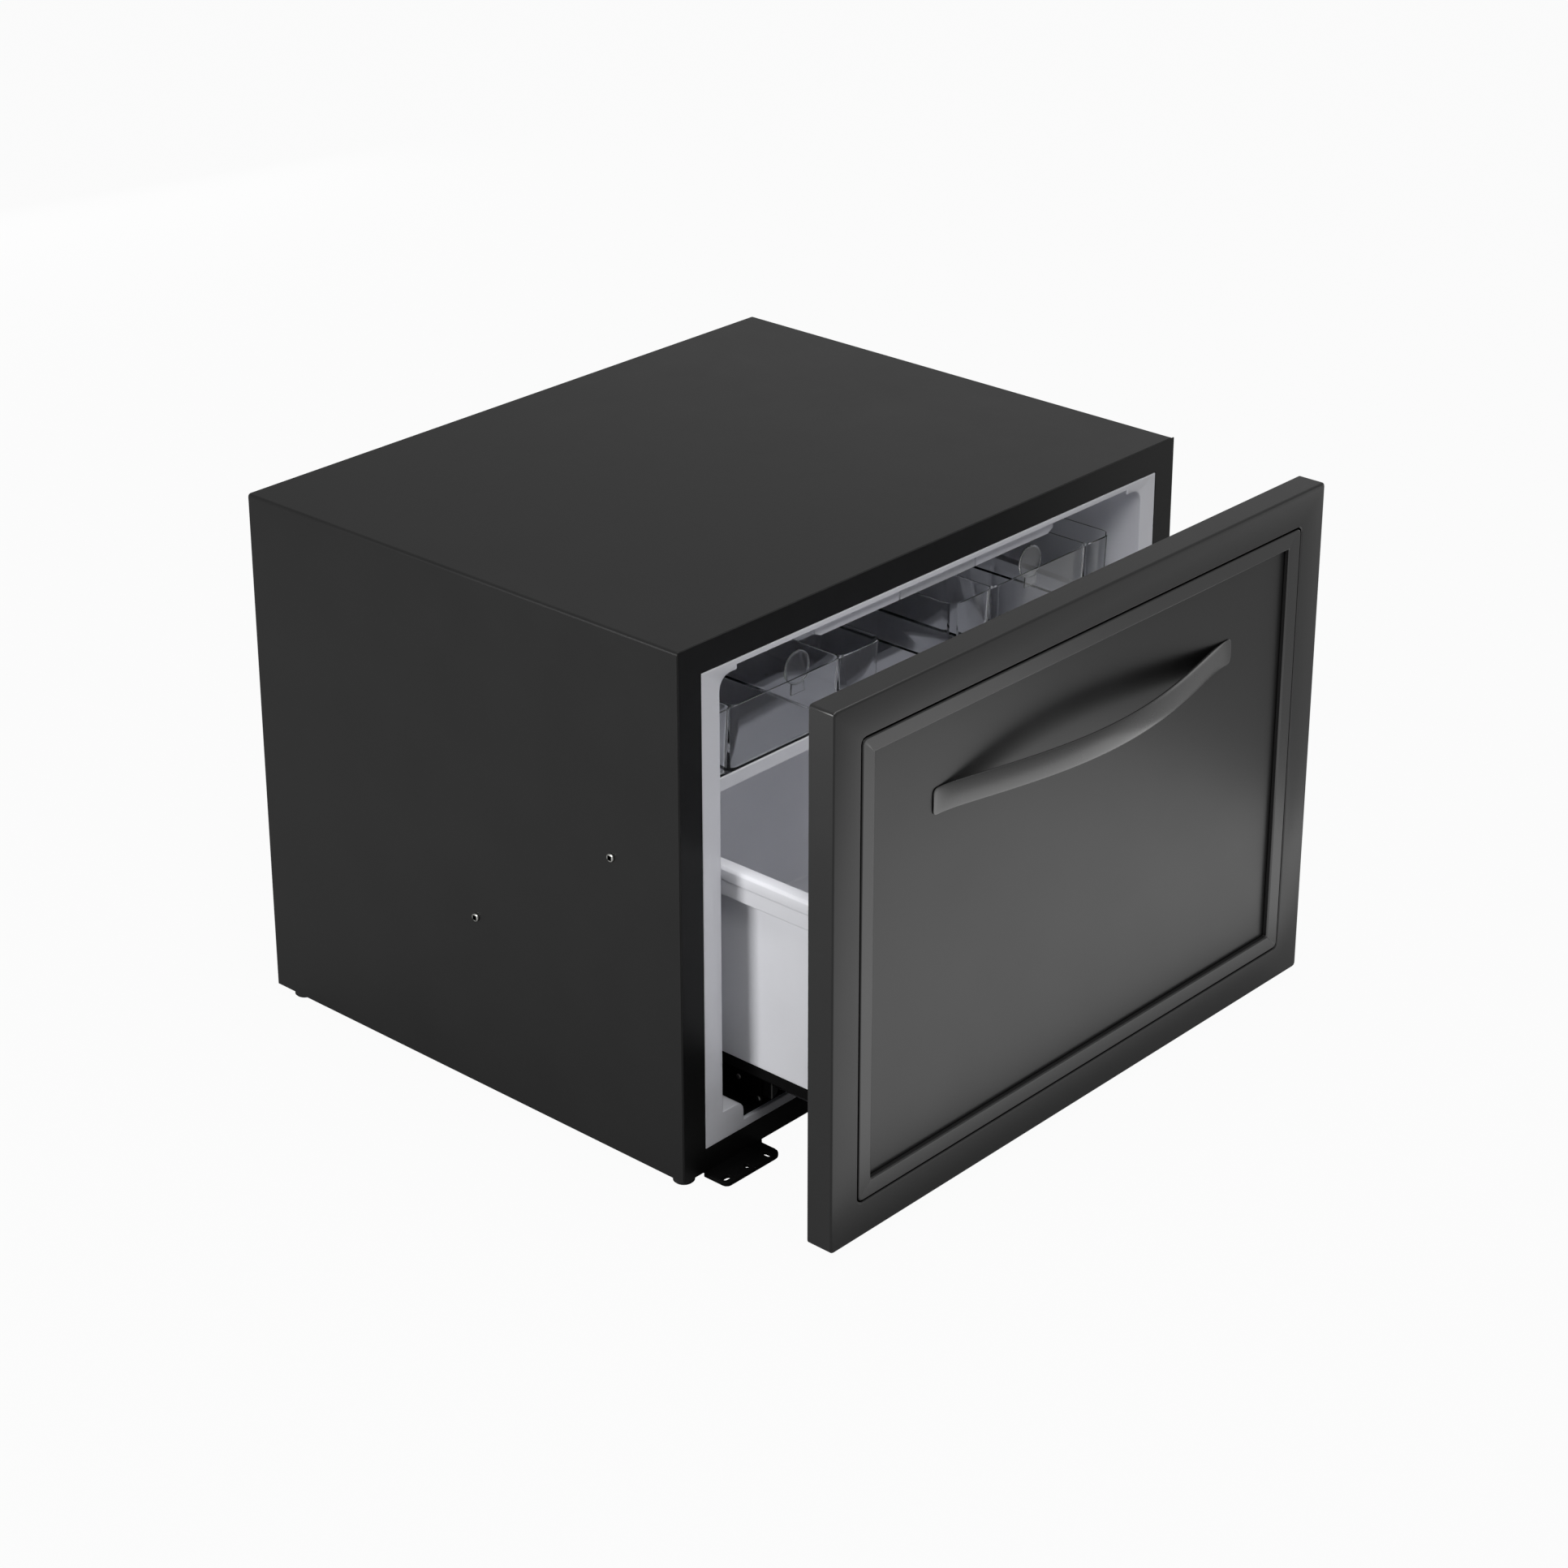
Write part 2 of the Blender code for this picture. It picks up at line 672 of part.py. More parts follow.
def fan_blade(bm, root, tip, turn, front, back, start):
    """One swept blade: it climbs from front to back as it turns, less steeply at its tip."""
    thickness = 0.05 * (back - front) + 0.0006
    sections = []
    stations = 4
    chords = 3
    for station in range(stations + 1):
        share = station / stations
        radius = root + (tip - root) * share
        sweep = start + 0.35 * share
        climb = (back - front) * (1 - 0.30 * share)
        middle = (front + back) / 2
        upper = []
        lower = []
        for chord in range(chords + 1):
            along = chord / chords
            angle = sweep + turn * (along - 0.5)
            y = middle + climb * (along - 0.5)
            half = thickness / 2 if 0 < chord < chords else thickness / 4
            upper.append((radius * math.cos(angle), y + half, radius * math.sin(angle)))
            lower.append((radius * math.cos(angle), y - half, radius * math.sin(angle)))
        sections.append(upper + lower[::-1])
    loft(bm, sections)


def build_fan(prefix, size, depth, face, motor_back, cabinet, pivot):
    """Square fan housing with its motor seat, and a rotor that turns about the pivot's Y axis."""
    half = size / 2
    bore = 0.475 * size
    hub = 0.40 * bore
    seat = 0.16 * depth
    wall = half - bore
    screw = 0.023 * size
    corner = half - 1.8 * wall - screw
    low_seat = face + depth - seat if motor_back else face
    frame = bmesh.new()
    outline = round_rectangle((-half, COOLER_HEIGHT - half), (half, COOLER_HEIGHT + half), 1.6 * wall, 3)
    prism(frame, outline, "y", face, face + depth)
    housing = add_piece(prefix + "_fan_housing", frame, "black_plastic", cabinet)
    center = (0, 0, COOLER_HEIGHT)
    tunnel = bmesh.new()
    turned(tunnel, [(bore, face - depth), (bore, face + 2 * depth)], "y", center)
    cut(housing, "tunnel", tunnel)
    motor = bmesh.new()
    turned(motor, [(hub, low_seat), (hub, low_seat + seat)], "y", center)
    join(housing, "motor_seat", motor)
    arm = 0.05 * size / 2
    for name, quarter in (("arm_a", 45), ("arm_b", 135)):
        bar = bmesh.new()
        reach = bore + wall / 4
        add_box(bar, (-reach, low_seat + seat / 8, -arm), (reach, low_seat + seat * 0.9, arm))
        turn = Matrix.Translation(center) @ Matrix.Rotation(math.radians(quarter), 4, "Y")
        bmesh.ops.transform(bar, matrix=turn, verts=bar.verts)
        join(housing, name, bar)
    holes = bmesh.new()
    for x in (-corner, corner):
        for z in (-corner, corner):
            hole = (x, 0, COOLER_HEIGHT + z)
            turned(holes, [(screw, face - depth), (screw, face + 2 * depth)], "y", hole, 10)
    cut(housing, "screw_holes", holes)
    margin = 0.04 * depth
    if motor_back:
        low, high = face + margin, low_seat - RACE_GAP
    else:
        low, high = low_seat + seat + RACE_GAP, face + depth - margin
    origin = face + depth / 2
    low -= origin
    high -= origin
    dome = 0.12 * hub
    profile = [(hub, low), (hub, high - dome), (hub - dome, high)]
    if motor_back:
        profile = [(hub - dome, low), (hub, low + dome), (hub, high)]
    body = bmesh.new()
    turned(body, profile, "y", (0, 0, 0), 28)
    rotor = add_piece(prefix + "_fan_rotor", body, "black_plastic", pivot)
    blades = bmesh.new()
    inset = 0.10 * (high - low)
    turn = 1.7 * math.pi / FAN_BLADES
    for index in range(FAN_BLADES):
        start = 2 * math.pi * index / FAN_BLADES
        fan_blade(blades, 0.92 * hub, 0.965 * bore, turn, low + inset, high - inset, start)
    join(rotor, "blades", blades)


def grille_sectors(bm, center_x, center_z, outer, y_low, y_high):
    """Ring-shaped windows with spokes between them, in front of a fan."""
    core = 0.30 * outer
    pitch = (outer - core) / GRILLE_RINGS
    rib = 0.26 * pitch
    for ring in range(GRILLE_RINGS):
        inner_radius = core + ring * pitch + rib / 2
        outer_radius = inner_radius + pitch - rib
        for sector in range(GRILLE_SECTORS):
            spoke = math.degrees(0.035 * outer / inner_radius)
            first = 360 * sector / GRILLE_SECTORS + spoke
            last = 360 * (sector + 1) / GRILLE_SECTORS - spoke
            steps = 4
            outline = arc((center_x, center_z), outer_radius, first, last, steps)
            outline += arc((center_x, center_z), inner_radius, last, first, steps)
            prism(bm, outline, "y", y_low, y_high)


def build_cold_cover(cabinet):
    """White cover over the cold sink: fan grille in the middle, air slots above and below."""
    half = COVER_WIDTH / 2
    low = COOLER_HEIGHT - COVER_HEIGHT / 2
    high = COOLER_HEIGHT + COVER_HEIGHT / 2
    back = LINER_DEPTH - CLEAR
    front = back - COVER_DEPTH
    loops = []
    for inset, y in ((0, back), (0, front + COVER_CHAMFER), (COVER_CHAMFER, front)):
        outline = round_rectangle((-half + inset, low + inset), (half - inset, high - inset), COVER_CORNER)
        loops.append([(x, y, z) for x, z in outline])
    bm = bmesh.new()
    loft(bm, loops)
    cover = add_piece("cold_cover", bm, "white_plastic", cabinet)
    hollow = bmesh.new()
    wall = COVER_WALL
    outline = round_rectangle(
        (-half + wall, low + wall), (half - wall, high - wall), COVER_CORNER - wall
    )
    prism(hollow, outline, "y", front + wall, LINER_DEPTH + COVER_DEPTH)
    cut(cover, "hollow", hollow)
    openings = bmesh.new()
    grille_sectors(openings, 0, COOLER_HEIGHT, COLD_FAN_SIZE / 2, front - wall, front + 2 * wall)
    pitch = 2.4 * SLOT_WIDTH
    reach = COLD_FAN_SIZE / 2 + 2 * pitch
    for side in (-1, 1):
        for index in range(COVER_SLOTS):
            x = (index - (COVER_SLOTS - 1) / 2) * 3 * SLOT_WIDTH
            z = COOLER_HEIGHT + side * (reach + SLOT_LENGTH / 4)
            outline = slot_outline((x, z), SLOT_LENGTH / 2, SLOT_WIDTH, upright=True)
            prism(openings, outline, "y", front - wall, front + 2 * wall)
    cut(cover, "openings", openings)


def build_rear_cover(cabinet):
    """Ventilated sheet that closes the machine space behind the cabinet."""
    side = HALF_WIDTH - 2 * CASING_SHEET - 2 * CLEAR
    top = CABINET_HEIGHT - CASING_SHEET - CLEAR
    low = REAR_COVER_PLANE
    high = low + PANEL_SHEET
    cover = add_piece("rear_cover", box((-side, low, CLEAR), (side, high, top)), "black_coat", cabinet)
    openings = bmesh.new()
    before = low - REAR_FLANGE
    after = high + REAR_FLANGE
    grille_sectors(openings, 0, COOLER_HEIGHT, 0.94 * REAR_FAN_SIZE / 2, before, after)
    pitch = 3 * SLOT_WIDTH
    middle = (REAR_FAN_SIZE / 2 + HALF_WIDTH - REAR_FLANGE) / 2
    for side_sign in (-1, 1):
        for row in range(REAR_SLOT_ROWS):
            z = COOLER_HEIGHT + (row - (REAR_SLOT_ROWS - 1) / 2) * pitch
            for column in (-1, 1):
                x = side_sign * middle + column * 0.62 * SLOT_LENGTH
                outline = slot_outline((x, z), SLOT_LENGTH, SLOT_WIDTH, steps=3)
                prism(openings, outline, "y", before, after)
    cut(cover, "openings", openings)
    center_x, center_z = inlet_place()
    gap = 2 * CLEAR
    half_width = INLET_SIZE[0] / 2 + gap
    half_height = INLET_SIZE[2] / 2 + gap
    cut(
        cover,
        "inlet_hole",
        box(
            (center_x - half_width, before, center_z - half_height),
            (center_x + half_width, after, center_z + half_height),
        ),
    )


def inlet_place():
    x = HALF_WIDTH - SUPPLY_INSET - SUPPLY_SIZE[0] / 2
    z = SUPPLY_HEIGHT + SUPPLY_SIZE[2] / 2
    return x, z


def build_power(cabinet):
    """Power supply behind the foam, and the inlet socket that plugs into its back."""
    center_x, center_z = inlet_place()
    low_y = MACHINE_PLANE + PANEL_SHEET + CLEAR
    high_y = low_y + SUPPLY_SIZE[1]
    half_width = SUPPLY_SIZE[0] / 2
    half_height = SUPPLY_SIZE[2] / 2
    low = (center_x - half_width, low_y, center_z - half_height)
    high = (center_x + half_width, high_y, center_z + half_height)
    supply = add_piece("power_supply", box(low, high), "aluminium", cabinet)
    ribs = bmesh.new()
    rib = SUPPLY_SIZE[2] / 15
    for index in range(5):
        z = low[2] + (2 * index + 2.5) * rib * 1.25
        add_box(ribs, (low[0] - rib, low_y + rib, z - rib / 2), (low[0] + rib, high_y - rib, z + rib / 2))
        add_box(ribs, (high[0] - rib, low_y + rib, z - rib / 2), (high[0] + rib, high_y - rib, z + rib / 2))
    cut(supply, "grooves", ribs)
    back = CABINET_DEPTH
    face = back - INLET_FLANGE[1]
    inlet_half = (INLET_SIZE[0] / 2, INLET_SIZE[2] / 2)
    front = high_y + CLEAR
    body = box(
        (center_x - inlet_half[0], front, center_z - inlet_half[1]),
        (center_x + inlet_half[0], face + INLET_FLANGE[1] / 2, center_z + inlet_half[1]),
    )
    inlet = add_piece("power_inlet", body, "black_plastic", cabinet)
    flange = bmesh.new()
    flange_low = (center_x - INLET_FLANGE[0] / 2, center_z - INLET_FLANGE[2] / 2)
    flange_high = (center_x + INLET_FLANGE[0] / 2, center_z + INLET_FLANGE[2] / 2)
    prism(flange, round_rectangle(flange_low, flange_high, INLET_CORNER), "y", face, back)
    join(inlet, "flange", flange)
    wall = INLET_WALL
    socket_low = (center_x - inlet_half[0] + wall, center_z - inlet_half[1] + wall)
    socket_high = (center_x + inlet_half[0] - wall, center_z + inlet_half[1] - wall)
    floor = front + wall
    chamfer = INLET_CORNER
    outline = [
        socket_low,
        (socket_high[0], socket_low[1]),
        (socket_high[0], socket_high[1] - chamfer),
        (socket_high[0] - chamfer, socket_high[1]),
        (socket_low[0] + chamfer, socket_high[1]),
        (socket_low[0], socket_high[1] - chamfer),
    ]
    socket = bmesh.new()
    prism(socket, outline, "y", floor, back + wall)
    cut(inlet, "socket", socket)
    pins = bmesh.new()
    for offset_x, offset_z in INLET_PINS:
        x = center_x + offset_x
        z = center_z + offset_z
        add_box(
            pins,
            (x - INLET_PIN / 4, floor - wall / 2, z - INLET_PIN / 2),
            (x + INLET_PIN / 4, back - 2 * wall, z + INLET_PIN / 2),
        )
    join(inlet, "pins", pins)


def build_feet(cabinet):
    """Round rubber feet with a groove below their collar."""
    collar = FOOT_HEIGHT * 0.35
    for row, y in (("front", FOOT_INSET), ("rear", CABINET_DEPTH - FOOT_INSET)):
        for side_name, side in (("left", -1), ("right", 1)):
            profile = [
                (FOOT_RADIUS - 0.0010, -FOOT_HEIGHT),
                (FOOT_RADIUS, -FOOT_HEIGHT + 0.0010),
                (FOOT_RADIUS, -collar - 0.0010),
                (FOOT_RADIUS * 0.80, -collar),
                (FOOT_RADIUS * 0.80, -CLEAR),
            ]
            bm = bmesh.new()
            turned(bm, profile, "z", (side * (HALF_WIDTH - FOOT_INSET), y, 0), 24)
            add_piece("foot_" + row + "_" + side_name, bm, "rubber", cabinet)


def build_brackets(cabinet):
    """Flat plates under the front corners, cut round the feet, with two slots and a hole."""
    notch = FOOT_INSET + FOOT_RADIUS + 2 * CLEAR
    for side_name, side in (("left", -1), ("right", 1)):
        outline = [(notch, BRACKET_BACK), (notch, 0), (BRACKET_LEFT, 0)]
        front = -BRACKET_REACH
        outline += arc((BRACKET_LEFT + BRACKET_ROUND, front + BRACKET_ROUND), BRACKET_ROUND, 180, 270, 3)
        outline += arc((BRACKET_RIGHT - BRACKET_CORNER, front + BRACKET_CORNER), BRACKET_CORNER, 270, 360, 4)
        wide = BRACKET_RIGHT + BRACKET_FILLET
        outline += arc((wide, -BRACKET_FILLET), BRACKET_FILLET, 180, 90, 3)
        outline += [(wide, BRACKET_BACK)]
        at = [(side * (HALF_WIDTH - x), y) for x, y in outline]
        top = -CLEAR
        bottom = top - BRACKET_SHEET
        bm = bmesh.new()
        prism(bm, at, "z", bottom, top)
        bracket = add_piece("mounting_bracket_" + side_name, bm, "black_steel", cabinet)
        width, length = BRACKET_SLOT
        row = front + 1.6 * width
        holes = bmesh.new()
        left_x = side * (HALF_WIDTH - BRACKET_LEFT - 0.85 * length)
        right_x = side * (HALF_WIDTH - BRACKET_RIGHT + 1.2 * length)
        middle_x = (left_x + right_x) / 2
        depth = (bottom - width, top + width)
        prism(holes, slot_outline((left_x, row), length, width), "z", *depth)
        prism(holes, slot_outline((right_x, row), length, width, True), "z", *depth)
        turned(holes, [(BRACKET_HOLE, z) for z in depth], "z", (middle_x, row, 0), 12)
        cut(bracket, "holes", holes)


def build_side_screws(cabinet):
    """Low round heads in the sides of the casing."""
    for side_name, side in (("left", -1), ("right", 1)):
        for index, (y, z) in enumerate(SIDE_SCREWS):
            face = HALF_WIDTH + CLEAR
            profile = [
                (SIDE_SCREW_RADIUS, side * face),
                (SIDE_SCREW_RADIUS, side * (face + SIDE_SCREW_HEAD * 0.4)),
                (SIDE_SCREW_RADIUS * 0.75, side * (face + SIDE_SCREW_HEAD * 0.85)),
                (SIDE_SCREW_RADIUS * 0.35, side * (face + SIDE_SCREW_HEAD)),
            ]
            bm = bmesh.new()
            turned(bm, profile, "x", (0, y, z), 16)
            head = add_piece("side_screw_" + side_name + "_" + str(index + 1), bm, "zinc", cabinet)
            arm = SIDE_SCREW_RADIUS * 0.6
            recess = bmesh.new()
            depth = (face + SIDE_SCREW_HEAD * 0.5, face + 2 * SIDE_SCREW_HEAD)
            low_x, high_x = sorted(side * x for x in depth)
            add_box(recess, (low_x, y - arm, z - arm / 5), (high_x, y + arm, z + arm / 5))
            cut(head, "slot", recess)


def runner_places(side):
    """Maps a distance in from the back of the outer member to X on one side."""
    return lambda inward: side * (RUNNER_SIDE - inward)


def runner_member(name, outline, side, parent, start=RUNNER_FRONT, length=RUNNER_LENGTH):
    at = runner_places(side)
    bm = bmesh.new()
    prism(bm, [(at(inward), z) for inward, z in outline], "y", 0, length)
    return add_piece(name, bm, "black_steel", parent, (0, start, 0))


def build_runner_brackets(cabinet):
    """Steel rails on the liner's floor; the outer members are screwed to their upright webs."""
    floor = FLOOR_LEVEL + CLEAR
    web = -CLEAR - RAIL_SHEET
    outline = [
        (web, RUNNER_TOP),
        (web, floor + RAIL_SHEET),
        (web - RAIL_FOOT_OUT, floor + RAIL_SHEET),
        (web - RAIL_FOOT_OUT, floor),
        (-CLEAR + RAIL_FOOT_IN, floor),
        (-CLEAR + RAIL_FOOT_IN, floor + RAIL_SHEET),
        (-CLEAR, floor + RAIL_SHEET),
        (-CLEAR, RUNNER_TOP),
    ]
    for side_name, side in (("left", -1), ("right", 1)):
        name = "runner_bracket_" + side_name
        runner_member(name, outline, side, cabinet, RAIL_FRONT, RUNNER_LENGTH)


def web_slots(piece, side, inward, places, length):
    """Oblong screw slots through a runner's web."""
    at = runner_places(side)
    low, high = sorted((at(inward - 2 * RUNNER_SHEET), at(inward + 2 * RUNNER_SHEET)))
    middle = RUNNER_LEVEL + RUNNER_HEIGHT / 2
    bm = bmesh.new()
    for along in places:
        outline = slot_outline((along * RUNNER_LENGTH, middle), length, SLOT_WIDTH, steps=3)
        prism(bm, outline, "x", low, high)
    cut(piece, "slots", bm)


def race_bead(inward_low, inward_high, low, high, top, steps=4):
    """Rounded end of a lip, where the balls run."""
    middle = (low + high) / 2
    radius = (high - low) / 2
    first, last = (90, -90) if top else (-90, 90)
    points = [(inward_low, high if top else low)]
    points += arc((inward_high - radius, middle), radius, first, last, steps)
    return points


def build_runners(cabinet, left_middle, right_middle, drawer_rails):
    """Three nested members on each side: fixed outer, half-speed middle, inner on the drawer."""
    low = RUNNER_LEVEL
    high = RUNNER_TOP
    sheet = RUNNER_SHEET
    lip = RUNNER_THICKNESS - sheet - RACE_GAP
    outer_path = [
        (lip, low + RUNNER_LIP),
        (lip, low),
        (0, low),
        (0, high),
        (lip, high),
        (lip, high - RUNNER_LIP),
    ]
    outer = bent_sheet(outer_path[::-1], sheet)
    race_low = low + sheet + RACE_GAP
    race_high = high - sheet - RACE_GAP
    middle_web = sheet + RACE_GAP
    race_end = lip - sheet - RACE_GAP
    middle = [(middle_web, race_high)]
    middle += race_bead(middle_web, race_end, race_high - RACE_DEPTH, race_high, True)[1:]
    middle += [(middle_web + sheet, race_high - RACE_DEPTH), (middle_web + sheet, race_low + RACE_DEPTH)]
    middle += race_bead(middle_web, race_end, race_low, race_low + RACE_DEPTH, False)[1:][::-1]
    middle += [(middle_web, race_low)]
    inner_low = race_low + RACE_DEPTH + RACE_GAP
    inner_high = race_high - RACE_DEPTH - RACE_GAP
    inner_lip = middle_web + sheet + RACE_GAP
    inner_path = [
        (inner_lip, inner_high),
        (RUNNER_THICKNESS, inner_high),
        (RUNNER_THICKNESS, inner_low),
        (inner_lip, inner_low),
    ]
    inner = bent_sheet(inner_path[::-1], sheet)
    for side_name, side, middle_parent in (("left", -1, left_middle), ("right", 1, right_middle)):
        fixed = runner_member("runner_outer_" + side_name, outer, side, cabinet)
        web_slots(fixed, side, sheet / 2, (0.12, 0.5, 0.86), 2 * SLOT_WIDTH)
        start = RUNNER_FRONT + MIDDLE_SETBACK
        middle_name = "runner_middle_" + side_name
        half_speed = runner_member(middle_name, middle, side, middle_parent, start, MIDDLE_LENGTH)
        web_slots(half_speed, side, middle_web + sheet / 2, (0.3, 0.7), 4 * SLOT_WIDTH)
        moving = runner_member("runner_inner_" + side_name, inner, side, drawer_rails)
        web_slots(moving, side, RUNNER_THICKNESS - sheet / 2, (0.2, 0.8), 2 * SLOT_WIDTH)


def build_carriers(drawer):
    """Rails on the inner members: a web, a lipped shelf under the bin and a foot on the drawer's back."""
    foot_width = CARRIER_WIDTH
    for side_name, side in (("left", -1), ("right", 1)):
        at = runner_places(side)
        web = RUNNER_THICKNESS + CLEAR
        edge = -CARRIER_REACH
        shelf_end = web + CARRIER_WIDTH
        top = CARRIER_LEVEL + CARRIER_SHEET
        bottom = RUNNER_LEVEL + RUNNER_SHEET + RACE_DEPTH + 2 * RACE_GAP
        outline = [
            (edge, top),
            (edge, top - CARRIER_LIP),
            (edge + CARRIER_SHEET, top - CARRIER_LIP),
            (edge + CARRIER_SHEET, CARRIER_LEVEL),
            (web, CARRIER_LEVEL),
            (web, bottom),
            (web + CARRIER_SHEET, bottom),
            (web + CARRIER_SHEET, CARRIER_LEVEL),
            (shelf_end, CARRIER_LEVEL),
            (shelf_end, top),
        ]
        bm = bmesh.new()
        prism(bm, [(at(inward), z) for inward, z in outline], "y", CLEAR, CLEAR + CARRIER_LENGTH)
        carrier = add_piece("carrier_" + side_name, bm, "black_steel", drawer)
        foot = bmesh.new()
        foot_outline = [
            (web + CARRIER_SHEET / 2, bottom),
            (web + foot_width * 0.55, bottom),
            (web + foot_width * 0.9, (bottom + top) / 2),
            (web + foot_width * 0.9, top - CARRIER_SHEET / 2),
            (web + CARRIER_SHEET / 2, top - CARRIER_SHEET / 2),
        ]
        prism(
            foot,
            [(at(inward), z) for inward, z in foot_outline],
            "y",
            CLEAR + CARRIER_SHEET / 20,
            CLEAR + CARRIER_SHEET,
        )
        join(carrier, "foot", foot)


def drawer_bounds():
    half = DRAWER_WIDTH / 2
    return (-half, DRAWER_LIFT), (half, DRAWER_LIFT + DRAWER_HEIGHT)


def build_drawer_front(drawer):
    """Outer frame, bevelled trim behind a thin seam, recessed panel and what lies behind them."""
    low, high = drawer_bounds()
    face = -DRAWER_THICKNESS
    edge = DRAWER_EDGE
    outer = [(0, 0), (0, face + edge)]
    for angle in (math.pi / 6, math.pi / 3):
        outer.append((edge - edge * math.cos(angle), face + edge - edge * math.sin(angle)))
    outer += [(edge, face), (SEAM_INSET - edge / 2, face), (SEAM_INSET, face + edge / 2), (SEAM_INSET, 0)]
    bm = bmesh.new()
    frame_ring(bm, outer, low, high, (DRAWER_CORNER, TRIM_CORNER + SEAM_WIDTH))
    add_piece("drawer_frame", bm, "grey_coat", drawer)

    trim_outer = SEAM_INSET + SEAM_WIDTH
    trim_inner = trim_outer + TRIM_WIDTH
    rabbet = trim_inner - PANEL_OVERLAP - CLEAR
    trim_back = PANEL_FACE + PANEL_THICKNESS
    trim = [
        (trim_outer, trim_back),
        (trim_outer, face + TRIM_BEVEL / 2),
        (trim_outer + TRIM_BEVEL / 2, face),
        (trim_inner - TRIM_BEVEL, face + TRIM_BEVEL / 4),
        (trim_inner, face + TRIM_BEVEL),
        (trim_inner, PANEL_FACE - CLEAR),
        (rabbet, PANEL_FACE - CLEAR),
        (rabbet, trim_back),
    ]
    bm = bmesh.new()
    frame_ring(bm, trim, low, high, (TRIM_CORNER, PANEL_CORNER))
    add_piece("trim_frame", bm, "satin_metal", drawer)

    inset = trim_inner - PANEL_OVERLAP
    panel = bmesh.new()
    panel_low = (low[0] + inset, low[1] + inset)
    panel_high = (high[0] - inset, high[1] - inset)
    outline = round_rectangle(panel_low, panel_high, PANEL_CORNER)
    prism(panel, outline, "y", PANEL_FACE, PANEL_FACE + PANEL_THICKNESS)
    add_piece("decor_panel", panel, "satin_metal", drawer)

    inset = SEAM_INSET + CLEAR
    plate = round_rectangle(
        (low[0] + inset, low[1] + inset), (high[0] - inset, high[1] - inset), TRIM_CORNER + SEAM_WIDTH
    )
    core = bmesh.new()
    prism(core, plate, "y", trim_back + CLEAR, -BACK_SHEET - CLEAR)
    add_piece("drawer_insulation", core, "foam", drawer)

    plug_low = (low[0] + PLUG_SIDE, PLUG_BOTTOM)
    plug_high = (high[0] - PLUG_SIDE, high[1] - PLUG_TOP)
    base = round_rectangle(plug_low, plug_high, PLUG_CORNER)
    top = round_rectangle(
        (plug_low[0] + PLUG_DRAFT, plug_low[1] + PLUG_DRAFT),
        (plug_high[0] - PLUG_DRAFT, plug_high[1] - PLUG_DRAFT),
        PLUG_CORNER,
    )
    bm = bmesh.new()
    loft(
        bm,
        [
            [(x, -BACK_SHEET, z) for x, z in plate],
            [(x, 0, z) for x, z in plate],
            [(x, 0, z) for x, z in base],
            [(x, PLUG_HEIGHT, z) for x, z in top],
        ],
    )
    add_piece("drawer_liner", bm, "white_plastic", drawer)

    start = GASKET_INSET
    end = start + GASKET_WIDTH
    neck = GASKET_WIDTH / 5
    profile = [
        (start + neck / 2, CLEAR),
        (end - neck / 2, CLEAR),
        (end - neck / 2, 0.22 * GASKET_THICKNESS),
        (end - neck, 0.50 * GASKET_THICKNESS),
        (end, 0.66 * GASKET_THICKNESS),
        (end, GASKET_THICKNESS),
        (start, GASKET_THICKNESS),
        (start, 0.66 * GASKET_THICKNESS),
        (start + neck, 0.50 * GASKET_THICKNESS),
        (start + neck / 2, 0.22 * GASKET_THICKNESS),
    ]
    bm = bmesh.new()
    frame_ring(bm, profile, low, high, (GASKET_WIDTH, GASKET_WIDTH / 3))
    add_piece("gasket", bm, "rubber", drawer)


def handle_rise(share):
    """Height of the bow over the panel; share runs from -1 to 1 along the handle."""
    return HANDLE_BOW * max(math.cos(math.pi / 2 * share), 0.0) ** HANDLE_POWER


def build_handle(drawer):
    """Bow handle: a strip with a rounded face that lies on the panel at both ends."""
    low, high = drawer_bounds()
    middle_z = high[1] - HANDLE_DROP
    half = HANDLE_LENGTH / 2
    base = PANEL_FACE - CLEAR
    steps = HANDLE_STEPS // 2
    run = [0, 0.12 * HANDLE_ROUND, 0.45 * HANDLE_ROUND, HANDLE_ROUND]
    run += [HANDLE_ROUND + (half - HANDLE_ROUND) * step / steps for step in range(1, steps + 1)]
    stations = [-half + along for along in run] + [half - along for along in reversed(run[:-1])]
    loops = []
    for x in stations:
        rise = handle_rise(x / half)
        thickness = min(HANDLE_SHEET, max(rise, 0.25 * HANDLE_SHEET))
        front = base - max(rise - CLEAR, 0.25 * HANDLE_SHEET)
        back = min(front + thickness, base)
        short = max(0.0, 1 - (half - abs(x)) / HANDLE_ROUND)
        tall = HANDLE_HEIGHT / 2 - HANDLE_ROUND * (1 - math.sqrt(1 - short**2))
        crown = 0.22 * (back - front)
        loops.append(
            [
                (x, back, middle_z - tall),
                (x, front + 2 * crown, middle_z - tall),
                (x, front + crown / 2, middle_z - 0.72 * tall),
                (x, front, middle_z - 0.30 * tall),
                (x, front, middle_z + 0.30 * tall),
                (x, front + crown / 2, middle_z + 0.72 * tall),
                (x, front + 2 * crown, middle_z + tall),
                (x, back, middle_z + tall),
            ]
        )
    bm = bmesh.new()
    loft(bm, loops)
    add_piece("handle", bm, "satin_metal", drawer)


